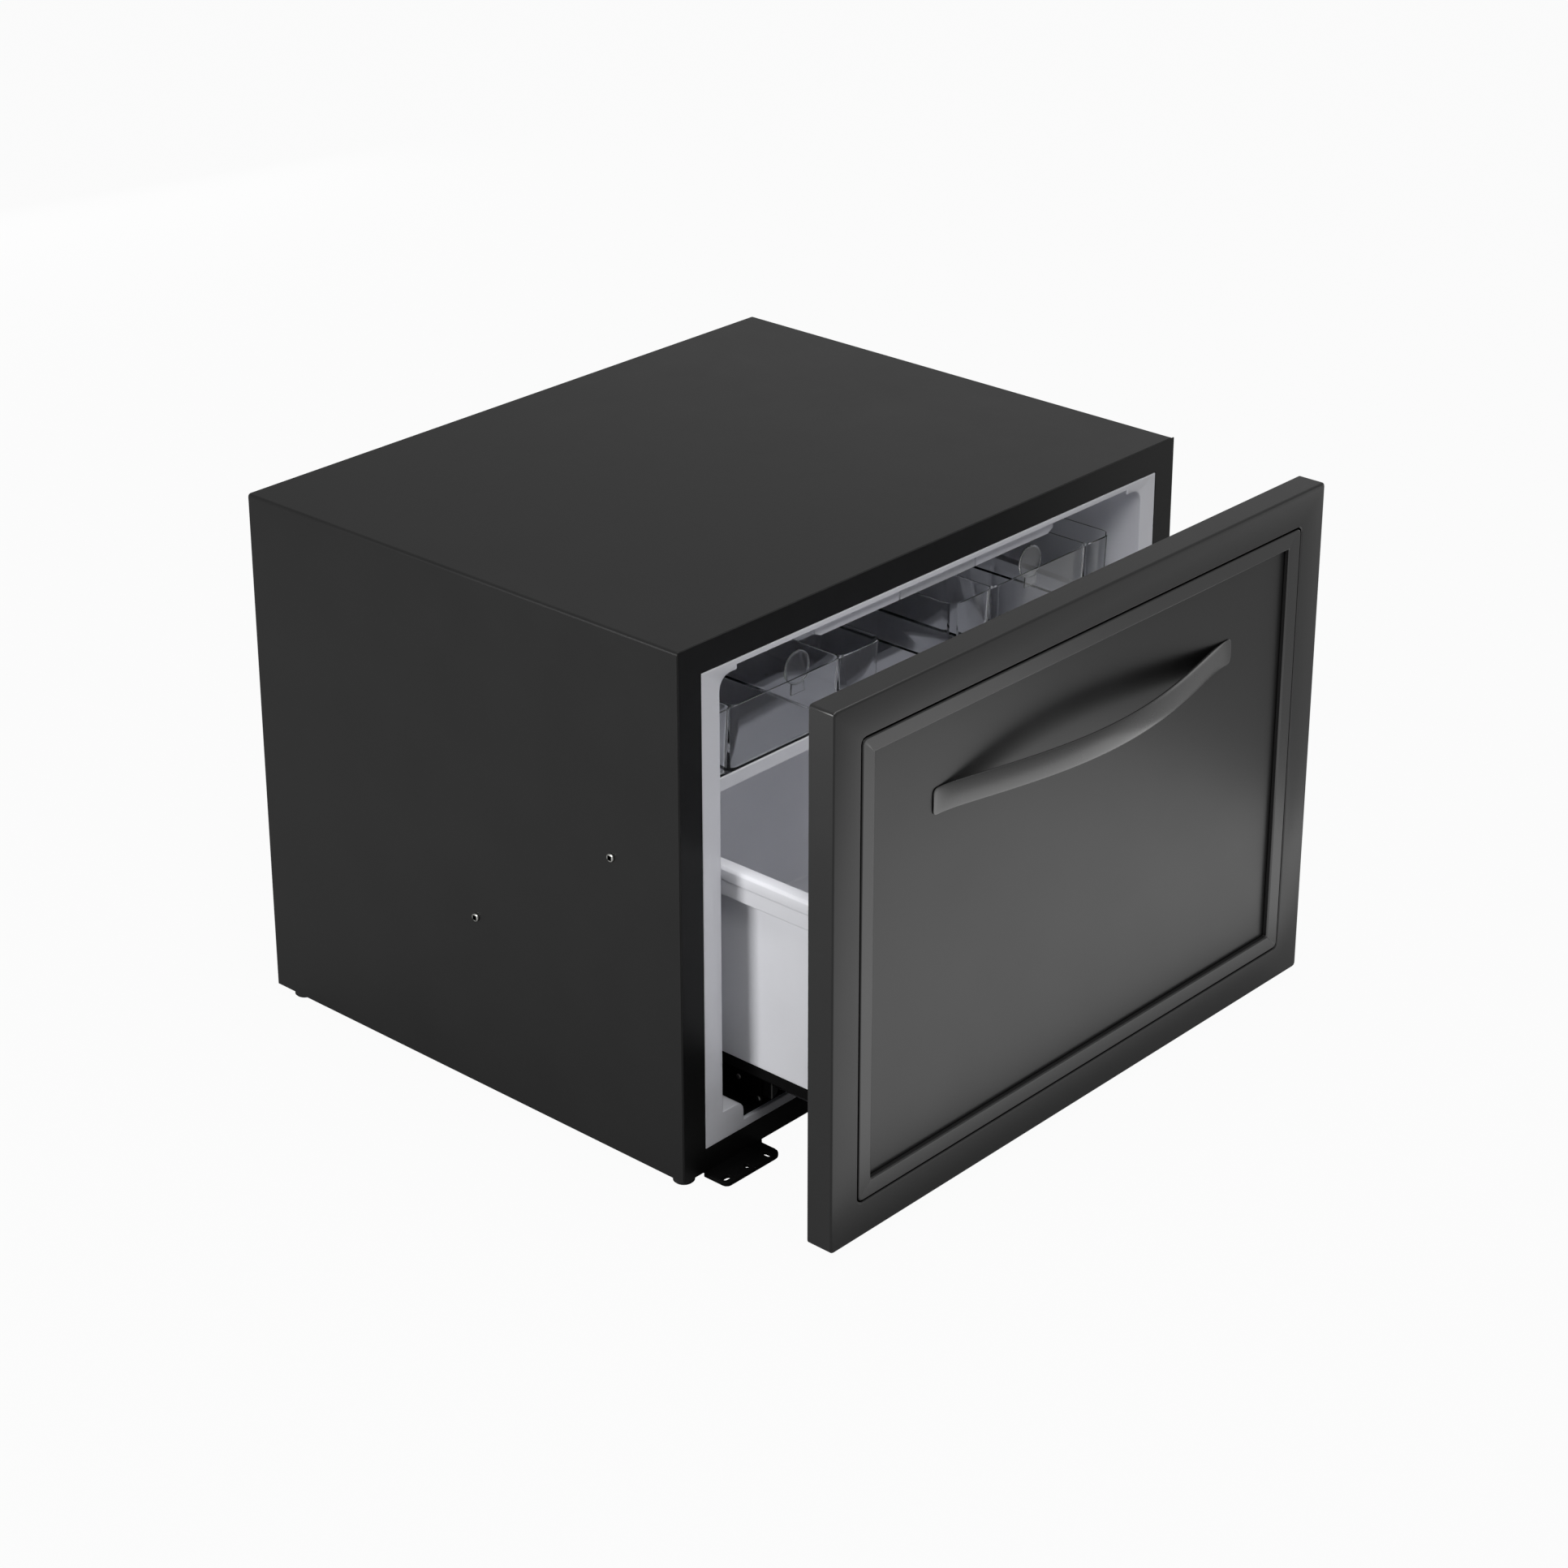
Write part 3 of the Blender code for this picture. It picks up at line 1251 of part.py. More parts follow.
def build_bin(drawer):
    """Tapered tub whose rim turns out and down into a skirt, on the carrier rails."""
    back = BIN_FRONT + BIN_DEPTH

    def ring(inset, z):
        low = (-BIN_HALF + inset, BIN_FRONT + inset)
        outline = round_rectangle(low, (BIN_HALF - inset, back - inset), BIN_CORNER)
        return [(x, y, z) for x, y in outline]

    top = BIN_TOP
    rim = top - RIM_HEIGHT
    skirt = rim - SKIRT_HEIGHT
    inner = RIM_WIDTH + BIN_WALL
    floor = BIN_LEVEL + BIN_WALL
    bm = bmesh.new()
    loft(
        bm,
        [
            ring(RIM_WIDTH + BIN_DRAFT + BIN_FOOT, BIN_LEVEL),
            ring(RIM_WIDTH + BIN_DRAFT, BIN_LEVEL + BIN_FOOT),
            ring(RIM_WIDTH, top - BIN_WALL),
            ring(RIM_STEP + BIN_WALL, top - BIN_WALL),
            ring(RIM_STEP + BIN_WALL, skirt),
            ring(RIM_STEP + RIM_ROUND, skirt),
            ring(RIM_STEP, skirt + RIM_ROUND),
            ring(RIM_STEP, rim - RIM_STEP),
            ring(0, rim),
            ring(0, top - 2 * RIM_ROUND),
            ring(2 * RIM_ROUND, top),
            ring(inner - RIM_ROUND, top),
            ring(inner, top - RIM_ROUND),
            ring(inner + BIN_DRAFT, floor + BIN_FOOT),
            ring(inner + BIN_DRAFT + BIN_FOOT, floor),
        ],
    )
    add_piece("storage_bin", bm, "white_plastic", drawer)


def build_tray_frame(drawer):
    """Open frame on four legs that stand on the bin's rim and carry both trays."""
    half = BIN_HALF
    low = TRAY_LEVEL - TRAY_HEIGHT - CLEAR - TRAY_FRAME_HEIGHT
    high = low + TRAY_FRAME_HEIGHT
    front = TRAY_FRONT
    back = TRAY_FRONT + TRAY_DEPTH
    outline = round_rectangle((-half, front), (half, back), TRAY_FRAME_BAR)
    bm = bmesh.new()
    prism(bm, outline, "z", low, high)
    frame = add_piece("tray_frame", bm, "white_plastic", drawer)
    bar = TRAY_FRAME_BAR
    hole = bmesh.new()
    outline = round_rectangle((-half + bar, front + bar), (half - bar, back - bar), bar / 2)
    prism(hole, outline, "z", low - bar, high + bar)
    cut(frame, "hole", hole)
    legs = bmesh.new()
    foot = BIN_TOP + CLEAR
    for side in (-1, 1):
        for start in (front + bar, back - bar - TRAY_LEG):
            x_low, x_high = sorted((side * (half - 0.1 * bar), side * (half - 0.9 * bar)))
            taper = 0.15 * TRAY_LEG
            loft(
                legs,
                [
                    [
                        (x_low, start + taper, foot),
                        (x_high, start + taper, foot),
                        (x_high, start + TRAY_LEG - taper, foot),
                        (x_low, start + TRAY_LEG - taper, foot),
                    ],
                    [
                        (x_low, start, low + bar / 2),
                        (x_high, start, low + bar / 2),
                        (x_high, start + TRAY_LEG, low + bar / 2),
                        (x_low, start + TRAY_LEG, low + bar / 2),
                    ],
                ],
            )
    join(frame, "legs", legs)


def build_trays(drawer):
    """Clear trays with three compartments each, and a round tab clipped behind each front wall."""
    top = TRAY_LEVEL
    bottom = top - TRAY_HEIGHT
    front = TRAY_FRONT
    back = front + TRAY_DEPTH
    draft = TRAY_WALL
    wall = TRAY_WALL
    for side_name, side in (("left", -1), ("right", 1)):
        outer = side * TRAY_OUTER
        inner = side * (TRAY_OUTER - TRAY_WIDTH)
        x_low, x_high = sorted((outer, inner))
        foot = round_rectangle((x_low + draft, front + draft), (x_high - draft, back - draft), TRAY_CORNER)
        rim = round_rectangle((x_low, front), (x_high, back), TRAY_CORNER)
        bm = bmesh.new()
        loft(bm, [[(x, y, bottom) for x, y in foot], [(x, y, top) for x, y in rim]])
        tray = add_piece("tray_" + side_name, bm, "clear_plastic", drawer)
        edges = [wall, TRAY_SIDE_POCKET, TRAY_WIDTH - TRAY_INNER_POCKET, TRAY_WIDTH - wall]
        pockets = bmesh.new()
        for index in range(3):
            first = edges[index] + (wall / 2 if index else 0)
            last = edges[index + 1] - (wall / 2 if index < 2 else 0)
            low_x, high_x = sorted((outer - side * first, outer - side * last))
            corner = TRAY_CORNER / 2
            floor = bottom + wall
            tops = round_rectangle((low_x, front + wall), (high_x, back - wall), corner)
            base_low = (low_x + draft, front + wall + draft)
            base = round_rectangle(base_low, (high_x - draft, back - wall - draft), corner)
            step = top + wall
            loft(pockets, [[(x, y, floor) for x, y in base], [(x, y, step) for x, y in tops]])
        cut(tray, "pockets", pockets)

        x = outer - side * TAB_OFFSET
        tab_low = front + wall + 2 * CLEAR
        stem = 0.55 * TAB_RADIUS
        disc = arc((x, top + TAB_RISE), TAB_RADIUS, -60, 240, 16)
        outline = disc + [(x - stem, top - TAB_RADIUS), (x + stem, top - TAB_RADIUS)]
        bm = bmesh.new()
        prism(bm, outline, "y", tab_low, tab_low + TAB_SHEET)
        add_piece("tray_tab_" + side_name, bm, "clear_plastic", drawer)


def main():
    clear_scene()
    cabinet = add_empty("cabinet", (0, FRONT_PLANE, FOOT_HEIGHT))
    build_casing(cabinet)
    build_base(cabinet)
    build_front_frame(cabinet)
    build_liner(cabinet)
    build_insulation(cabinet)
    build_light(cabinet)
    build_machine_panel(cabinet)
    build_cooler(cabinet)
    rear_pivot = add_empty("rear_fan_axis", (0, REAR_FAN_FACE + REAR_FAN_DEPTH / 2, COOLER_HEIGHT), cabinet)
    build_fan("rear", REAR_FAN_SIZE, REAR_FAN_DEPTH, REAR_FAN_FACE, False, cabinet, rear_pivot)
    cold_pivot = add_empty("cold_fan_axis", (0, COLD_FAN_FACE + COLD_FAN_DEPTH / 2, COOLER_HEIGHT), cabinet)
    build_fan("cold", COLD_FAN_SIZE, COLD_FAN_DEPTH, COLD_FAN_FACE, True, cabinet, cold_pivot)
    build_cold_cover(cabinet)
    build_rear_cover(cabinet)
    build_power(cabinet)
    build_feet(cabinet)
    build_brackets(cabinet)
    build_side_screws(cabinet)
    pull = REST_GAP - GASKET_THICKNESS
    left_middle = add_empty("runner_middle_left_axis", (0, -pull / 2, 0), cabinet)
    right_middle = add_empty("runner_middle_right_axis", (0, -pull / 2, 0), cabinet)
    rails = add_empty("drawer_rails", (0, -pull, 0), cabinet)
    build_runner_brackets(cabinet)
    build_runners(cabinet, left_middle, right_middle, rails)
    drawer = add_empty("drawer", (0, -REST_GAP, 0), cabinet)
    build_carriers(drawer)
    build_drawer_front(drawer)
    build_handle(drawer)
    build_bin(drawer)
    build_tray_frame(drawer)
    build_trays(drawer)


main()
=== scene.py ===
import json
import math

import bmesh
import bpy
from mathutils import Matrix, Vector


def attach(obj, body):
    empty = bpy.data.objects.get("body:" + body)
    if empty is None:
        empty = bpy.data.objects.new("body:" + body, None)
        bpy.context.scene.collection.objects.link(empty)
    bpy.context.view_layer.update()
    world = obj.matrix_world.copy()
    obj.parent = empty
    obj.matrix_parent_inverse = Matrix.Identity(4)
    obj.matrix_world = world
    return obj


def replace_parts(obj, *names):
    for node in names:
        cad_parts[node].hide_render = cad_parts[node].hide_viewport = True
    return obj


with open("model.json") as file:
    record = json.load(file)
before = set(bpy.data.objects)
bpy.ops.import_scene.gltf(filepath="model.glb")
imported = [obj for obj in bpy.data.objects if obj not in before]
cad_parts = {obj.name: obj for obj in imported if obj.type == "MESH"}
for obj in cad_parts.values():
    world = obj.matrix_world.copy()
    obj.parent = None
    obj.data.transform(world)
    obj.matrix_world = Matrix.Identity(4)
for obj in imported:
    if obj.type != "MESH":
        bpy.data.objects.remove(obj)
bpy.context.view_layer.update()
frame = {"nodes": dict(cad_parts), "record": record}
print("frame loaded:", len(frame["nodes"]), "nodes")


# Camera, matched to the photograph by its landmarks
cameraView = {
    "place": (-1.9925, -1.7737, 1.4830),
    "azimuth": -48.04,
    "elevation": 23.38,
    "focalPixels": 4494.5,  # focal length in pixels of a 1932 pixel frame
    "framePixels": 1932,
    "sensor": 36.0,
    "shiftY": -0.10,
    "clip": (0.01, 100),
}


def makeCamera(view):
    data = bpy.data.cameras.new("camera")
    data.sensor_width = view["sensor"]
    data.lens = view["focalPixels"] / view["framePixels"] * view["sensor"]
    data.shift_y = view["shiftY"]
    data.clip_start, data.clip_end = view["clip"]
    camera = bpy.data.objects.new("camera", data)
    turn = math.radians(view["azimuth"])
    rise = math.radians(view["elevation"])
    back = Vector((math.sin(turn) * math.cos(rise), -math.cos(turn) * math.cos(rise), math.sin(rise)))
    camera.location = view["place"]
    camera.rotation_mode = "QUATERNION"
    camera.rotation_quaternion = (-back).to_track_quat("-Z", "Y")
    bpy.context.scene.collection.objects.link(camera)
    bpy.context.scene.camera = camera


makeCamera(cameraView)
print("camera placed")


# Studio: white surroundings for the camera, a pale floor and soft boxes
studio = {
    "ambient": 0.07,  # how bright the surroundings are as light
    "mirrored": 0.38,  # and in reflections
    "seen": 1.0,  # and to the camera
    "floorSize": 24.0,
    "floorTone": 0.22,
    "floorWhite": 0.96,  # share of plain white that the camera sees in the floor
    "floorMirrored": 0.40,  # share of white in reflections of the floor
    "floorShade": 0.9,  # reach of the soft shade round the part, in those reflections
}

# Each box: place, aim, width, height and watts. lowBox is the bounce from the floor in front.
softBoxes = {
    "overheadBox": ((0.1, -0.35, 2.5), (0.0, -0.2, 0.4), 1.5, 1.2, 32.0),
    "lowBox": ((0.12, -0.50, 0.012), (0.12, -0.42, 1.0), 0.84, 0.70, 1.80),
    "frontBox": ((-0.75, -1.0, 1.9), (-0.1, -0.2, 0.25), 0.7, 0.7, 14.5),
    "rightBox": ((1.5, -0.50, 0.30), (0.0, -0.29, 0.25), 1.0, 0.5, 1.2),
    "leftBox": ((-2.8, 0.45, 0.85), (-0.25, -0.15, 0.2), 0.5, 0.5, 48.0),
    "backBox": ((0.6, 2.4, 0.24), (0.0, 0.2, 0.2), 1.8, 0.34, 16.0),
}


def rayShares(tree):  # 1 for camera rays, straight on or through clear plastic, and 1 for mirrored rays
    path = tree.nodes.new("ShaderNodeLightPath")
    pick = tree.nodes.new("ShaderNodeMath")
    pick.operation = "MAXIMUM"
    tree.links.new(path.outputs["Is Camera Ray"], pick.inputs[0])
    tree.links.new(path.outputs["Is Transmission Ray"], pick.inputs[1])
    return pick.outputs[0], path.outputs["Is Glossy Ray"]


def scaledShare(tree, share, amount):
    product = tree.nodes.new("ShaderNodeMath")
    product.operation = "MULTIPLY"
    product.inputs[1].default_value = amount
    tree.links.new(share, product.inputs[0])
    return product.outputs[0]


def addLayers(tree, result, layers, outputKind):  # each layer covers what is under it by its share
    for share, shade in layers:
        blend = tree.nodes.new("ShaderNodeMixShader")
        tree.links.new(share, blend.inputs["Fac"])
        tree.links.new(result.outputs[0], blend.inputs[1])
        tree.links.new(shade.outputs[0], blend.inputs[2])
        result = blend
    output = tree.nodes.new(outputKind)
    tree.links.new(result.outputs[0], output.inputs["Surface"])


def makeWorld(look):
    world = bpy.data.worlds.new("whiteStudio")
    world.use_nodes = True
    tree = world.node_tree
    tree.nodes.clear()
    shades = []
    for strength in (look["ambient"], look["mirrored"], look["seen"]):
        shade = tree.nodes.new("ShaderNodeBackground")
        shade.inputs["Color"].default_value = (1, 1, 1, 1)
        shade.inputs["Strength"].default_value = strength
        shades.append(shade)
    direct, mirrored = rayShares(tree)
    addLayers(tree, shades[0], ((mirrored, shades[1]), (direct, shades[2])), "ShaderNodeOutputWorld")
    bpy.context.scene.world = world


def makeFloor(look):
    bm = bmesh.new()
    bmesh.ops.create_grid(bm, x_segments=1, y_segments=1, size=look["floorSize"] / 2)
    mesh = bpy.data.meshes.new("floor")
    bm.to_mesh(mesh)
    bm.free()
    floor = bpy.data.objects.new("floor", mesh)
    paint = bpy.data.materials.new("paleFloor")
    paint.use_nodes = True
    tree = paint.node_tree
    tree.nodes.clear()
    matt = tree.nodes.new("ShaderNodeBsdfDiffuse")
    matt.inputs["Color"].default_value = (look["floorTone"],) * 3 + (1,)
    white = tree.nodes.new("ShaderNodeEmission")
    shaded = tree.nodes.new("ShaderNodeEmission")
    nearness = tree.nodes.new("ShaderNodeAmbientOcclusion")
    nearness.inputs["Distance"].default_value = look["floorShade"]
    tree.links.new(nearness.outputs["Color"], shaded.inputs["Color"])
    direct, mirrored = rayShares(tree)
    layers = (
        (scaledShare(tree, mirrored, look["floorMirrored"]), shaded),
        (scaledShare(tree, direct, look["floorWhite"]), white),
    )
    addLayers(tree, matt, layers, "ShaderNodeOutputMaterial")
    mesh.materials.append(paint)
    bpy.context.scene.collection.objects.link(floor)


def makeLights(boxes):
    for name, (place, aim, width, height, watts) in boxes.items():
        data = bpy.data.lights.new(name, "AREA")
        data.shape = "RECTANGLE"
        data.size = width
        data.size_y = height
        data.energy = watts
        light = bpy.data.objects.new(name, data)
        light.location = place
        light.visible_camera = False
        direction = Vector(aim) - Vector(place)
        light.rotation_mode = "QUATERNION"
        light.rotation_quaternion = direction.to_track_quat("-Z", "Y")
        bpy.context.scene.collection.objects.link(light)


makeWorld(studio)
makeFloor(studio)
makeLights(softBoxes)
bpy.context.scene.view_settings.view_transform = "Standard"
print("studio lit")


# Materials. Every pattern is procedural and reads Object coordinates.
# Grain, wave and height are in metres, and mottle is a share of the tone.
finishes = {
    "casingPaint": dict(
        tone=(0.007, 0.007, 0.007), rough=0.42, ior=1.38, grain=0.0011, height=0.00005, mottle=0.10),
    "blackPaint": dict(
        tone=(0.003, 0.003, 0.003), rough=0.42, ior=1.30, grain=0.0011, height=0.00004, mottle=0.12),
    "frontCoat": dict(
        tone=(0.008, 0.008, 0.008), rough=0.38, ior=1.50, grain=0.0009, height=0.00003, mottle=0.05),
    "trimMetal": dict(
        tone=(0.010, 0.010, 0.010), rough=0.32, ior=1.60, grain=0.0007, height=0.00002, mottle=0.04),
    "panelMetal": dict(
        tone=(0.007, 0.007, 0.007), rough=0.34, ior=1.50, grain=0.0006, height=0.00001, mottle=0.03),
    "handleMetal": dict(
        tone=(0.014, 0.014, 0.014), rough=0.27, ior=1.85, grain=0.0006, height=0.00001, mottle=0.03),
    "linerPlastic": dict(
        tone=(0.85, 0.855, 0.90), rough=0.34, ior=1.46, grain=0.0016, height=0.00003, mottle=0.02),
    "binPlastic": dict(
        tone=(0.75, 0.755, 0.79), rough=0.36, ior=1.46, grain=0.0014, height=0.00003, mottle=0.02),
    "blackPlastic": dict(
        tone=(0.014, 0.014, 0.015), rough=0.45, ior=1.46, grain=0.0006, height=0.00005, mottle=0.12),
    "runnerSteel": dict(
        tone=(0.018, 0.018, 0.020), rough=0.34, metal=0.4, grain=0.0020, height=0.00002, mottle=0.20),
    "bracketSteel": dict(
        tone=(0.003, 0.003, 0.003), rough=0.48, ior=1.14, grain=0.0010, height=0.00004, mottle=0.15),
    "rearPaint": dict(
        tone=(0.018, 0.018, 0.019), rough=0.46, ior=1.40, grain=0.0010, height=0.00005, mottle=0.10),
    "zincPlate": dict(
        tone=(0.52, 0.52, 0.50), rough=0.30, metal=1.0, grain=0.0030, height=0.00002, mottle=0.16),
    "bareAluminium": dict(
        tone=(0.56, 0.56, 0.57), rough=0.34, metal=1.0, grain=0.0012, height=0.00003, mottle=0.08),
    "foam": dict(
        tone=(0.66, 0.56, 0.34), rough=0.90, grain=0.0018, height=0.00025, mottle=0.14),
    "sealRubber": dict(
        tone=(0.035, 0.035, 0.036), rough=0.62, grain=0.0010, height=0.00004, mottle=0.10),
    "footRubber": dict(
        tone=(0.010, 0.010, 0.010), rough=0.72, grain=0.0012, height=0.00008, mottle=0.15),
    "circuitBoard": dict(
        tone=(0.02, 0.14, 0.06), rough=0.42, grain=0.0025, height=0.00004, mottle=0.30),
    "moduleCeramic": dict(
        tone=(0.74, 0.74, 0.72), rough=0.62, grain=0.0010, height=0.00004, mottle=0.05),
}

clearFinishes = {
    "clearPlastic": dict(
        tone=(0.975, 0.98, 0.985), rough=0.06, ior=1.32, wave=0.030, height=0.0002, clear=1.0),
    "lensPlastic": dict(
        tone=(0.90, 0.91, 0.94), rough=0.50, ior=1.45, wave=0.004, height=0.0002, clear=0.25),
}

# What all surfaces share
surfaceLook = {
    "ior": 1.45,  # where a finish gives none
    "grainDetail": 3,
    "rippleDetail": 1,
    "cloudSize": 0.06,
    "cloudDetail": 4,
    "cloudRamp": (0.30, 0.70),
    "roughSpread": 0.10,  # how far the clouds move the roughness, as a share of it
}


def startMaterial(name, look):
    coat = bpy.data.materials.new(name)
    coat.use_nodes = True
    shader = coat.node_tree.nodes["Principled BSDF"]
    shader.inputs["Roughness"].default_value = look["rough"]
    shader.inputs["Metallic"].default_value = look.get("metal", 0.0)
    shader.inputs["IOR"].default_value = look.get("ior", surfaceLook["ior"])
    coat.diffuse_color = (*look["tone"], 1)
    return coat, coat.node_tree, shader


def addNoise(tree, size, detail):
    place = tree.nodes.new("ShaderNodeTexCoord")
    noise = tree.nodes.new("ShaderNodeTexNoise")
    noise.inputs["Scale"].default_value = 1 / size
    noise.inputs["Detail"].default_value = detail
    tree.links.new(place.outputs["Object"], noise.inputs["Vector"])
    return noise


def addBump(tree, shader, noise, height):
    bump = tree.nodes.new("ShaderNodeBump")
    bump.inputs["Strength"].default_value = 1.0
    bump.inputs["Distance"].default_value = height
    tree.links.new(noise.outputs["Fac"], bump.inputs["Height"])
    tree.links.new(bump.outputs["Normal"], shader.inputs["Normal"])


def coatedSurface(name, look):
    coat, tree, shader = startMaterial(name, look)
    grain = addNoise(tree, look["grain"], surfaceLook["grainDetail"])
    addBump(tree, shader, grain, look["height"])
    clouds = addNoise(tree, surfaceLook["cloudSize"], surfaceLook["cloudDetail"])
    ramp = tree.nodes.new("ShaderNodeValToRGB")
    elements = ramp.color_ramp.elements
    elements[0].position, elements[1].position = surfaceLook["cloudRamp"]
    for element, share in zip(elements, (1 - look["mottle"], 1 + look["mottle"])):
        element.color = (*(min(channel * share, 1) for channel in look["tone"]), 1)
    tree.links.new(clouds.outputs["Fac"], ramp.inputs["Fac"])
    tree.links.new(ramp.outputs["Color"], shader.inputs["Base Color"])
    spread = tree.nodes.new("ShaderNodeMapRange")
    spread.inputs["To Min"].default_value = look["rough"] * (1 - surfaceLook["roughSpread"])
    spread.inputs["To Max"].default_value = min(look["rough"] * (1 + surfaceLook["roughSpread"]), 1)
    tree.links.new(clouds.outputs["Fac"], spread.inputs["Value"])
    tree.links.new(spread.outputs["Result"], shader.inputs["Roughness"])
    return coat


def clearSurface(name, look):
    coat, tree, shader = startMaterial(name, look)
    shader.inputs["Base Color"].default_value = (*look["tone"], 1)
    shader.inputs["Transmission Weight"].default_value = look["clear"]
    ripple = addNoise(tree, look["wave"], surfaceLook["rippleDetail"])
    addBump(tree, shader, ripple, look["height"])
    return coat


materials = {name: coatedSurface(name, look) for name, look in finishes.items()}
materials.update({name: clearSurface(name, look) for name, look in clearFinishes.items()})
print("materials ready:", len(materials))

slotMaterials = {
    "casing_paint": "casingPaint",
    "black_paint": "blackPaint",
    "front_coat": "frontCoat",
    "trim_metal": "trimMetal",
    "panel_metal": "panelMetal",
    "handle_metal": "handleMetal",
    "liner_plastic": "linerPlastic",
    "bin_plastic": "binPlastic",
    "clear_plastic": "clearPlastic",
    "lens_plastic": "lensPlastic",
    "black_plastic": "blackPlastic",
    "runner_steel": "runnerSteel",
    "bracket_steel": "bracketSteel",
    "zinc_plate": "zincPlate",
    "bare_aluminium": "bareAluminium",
    "foam": "foam",
    "seal_rubber": "sealRubber",
    "foot_rubber": "footRubber",
    "circuit_board": "circuitBoard",
    "module_ceramic": "moduleCeramic",
}
nodeFinishes = {"rear_cover": "rearPaint", "base_panel": "rearPaint"}  # other finishes than their slots'
nodeSlots = {part["node"]: part["material_slot"] for part in frame["record"]["subparts"]}
nodeBodies = {}
for body, members in frame["record"]["behaviour"]["bodies"].items():
    for member in members:
        nodeBodies[member] = body


# Limits for the meshes: distances in metres, angles in degrees
meshLimits = {
    "samePoint": 0.000001,
    "sameCadPoint": 0.00001,
    "sameFace": 0.6,
    "sharpEdge": 32,
    "roundedEdge": 30,
}


def addPiece(name, bm, slot, body, sharpAngle=meshLimits["sharpEdge"], finish=None):
    bmesh.ops.remove_doubles(bm, verts=bm.verts, dist=meshLimits["samePoint"])
    bmesh.ops.recalc_face_normals(bm, faces=bm.faces)
    mesh = bpy.data.meshes.new(name)
    bm.to_mesh(mesh)
    bm.free()
    mesh.shade_smooth()
    mesh.set_sharp_from_angle(angle=math.radians(sharpAngle))
    mesh.materials.append(materials[finish or slotMaterials[slot]])
    piece = bpy.data.objects.new(name, mesh)
    bpy.context.scene.collection.objects.link(piece)
    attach(piece, body)
    return piece


# Nodes whose CAD shape is right: a merged copy with real rounded edges stands for each
edgeRounding = {
    "outer_casing": 0.0004,
    "front_frame": 0.0003,
    "inner_liner": 0.0008,
    "drawer_frame": 0.0007,
    "trim_frame": 0.0005,
    "decor_panel": 0.0003,
    "drawer_liner": 0.0012,
    "storage_bin": 0.0006,
    "light_housing": 0.0007,
    "cold_cover": 0.0004,
    "mounting_bracket_left": 0.0004,
    "mounting_bracket_right": 0.0004,
    "carrier_left": 0.0003,
    "carrier_right": 0.0003,
    "tray_frame": 0.0006,
    "tray_left": 0.0005,
    "tray_right": 0.0005,
    "tray_tab_left": 0.0003,
    "tray_tab_right": 0.0003,
    "rear_cover": 0.0003,
    "rear_fan_housing": 0.0005,
    "cold_fan_housing": 0.0004,
    "power_inlet": 0.0004,
    "power_supply": 0.0006,
    # Runner brackets: black steel that carries the runners; their wide foot plates also cover the liner
    # floor under the bin as a dark sheet where there is only shade, which is painted shade
    "runner_bracket_left": 0.0003,
    "runner_bracket_right": 0.0003,
    "runner_outer_left": 0.0002,
    "runner_outer_right": 0.0002,
    "runner_middle_left": 0.0002,
    "runner_middle_right": 0.0002,
    "runner_inner_left": 0.0002,
    "runner_inner_right": 0.0002,
    "gasket": 0.0006,
}

# These keep their triangles: a face round a hole doesn't bevel cleanly as one polygon
triangulated = ("storage_bin", "mounting_bracket_left", "mounting_bracket_right")


def mergedCopy(node):
    bm = bmesh.new()
    bm.from_mesh(frame["nodes"][node].data)
    bmesh.ops.remove_doubles(bm, verts=bm.verts, dist=meshLimits["sameCadPoint"])
    if node not in triangulated:
        flat = math.radians(meshLimits["sameFace"])
        bmesh.ops.dissolve_limit(bm, angle_limit=flat, verts=bm.verts, edges=bm.edges)
    return bm


def roundEdges(piece, width):
    bevel = piece.modifiers.new("roundedEdges", "BEVEL")
    bevel.width = width
    bevel.segments = 2
    bevel.limit_method = "ANGLE"
    bevel.angle_limit = math.radians(meshLimits["roundedEdge"])
    bevel.harden_normals = True


for node, width in edgeRounding.items():
    finish = nodeFinishes.get(node)
    dressed = addPiece(node + "_dressed", mergedCopy(node), nodeSlots[node], nodeBodies[node], finish=finish)
    roundEdges(dressed, width)
    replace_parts(dressed, node)
print("edges rounded:", len(edgeRounding))


# Places in the cabinet and on the drawer are given from these origins
cabinetOrigin = Vector((0, -0.14565, 0.010))
drawerOrigin = Vector((0, -0.26945, 0.010))
sides = {"left": -1, "right": 1}  # direction along X


def pour(target, bm, matrix):  # adds a small shape to a larger one
    bmesh.ops.transform(bm, matrix=matrix, verts=bm.verts)
    mesh = bpy.data.meshes.new("poured")
    bm.to_mesh(mesh)
    bm.free()
    target.from_mesh(mesh)
    bpy.data.meshes.remove(mesh)


def facing(place, direction):  # turns a shape's +Z to the direction, at the place
    turn = Vector(direction).to_track_quat("Z", "Y").to_matrix().to_4x4()
    return Matrix.Translation(place) @ turn


# Screw heads with a cross recess. Each one is a grid for the cross, bridged to a domed ring.
screwHead = {
    "crossReach": 0.58,  # shares of the head's radius
    "crossHalf": 0.13,
    "flatTo": 0.74,
    "dome": ((0.90, 0.14), (0.985, 0.40), (1.0, 0.70), (1.0, 1.0)),  # radius share, drop share
    "innerLines": 0.9,  # grid lines within this share of the reach are the cross's sides
    "draft": 0.2,  # inset of the recess's floor, as a share of the cross's half width
    "recess": 0.55,  # depth, as a share of the head's height
    "steps": 24,
}


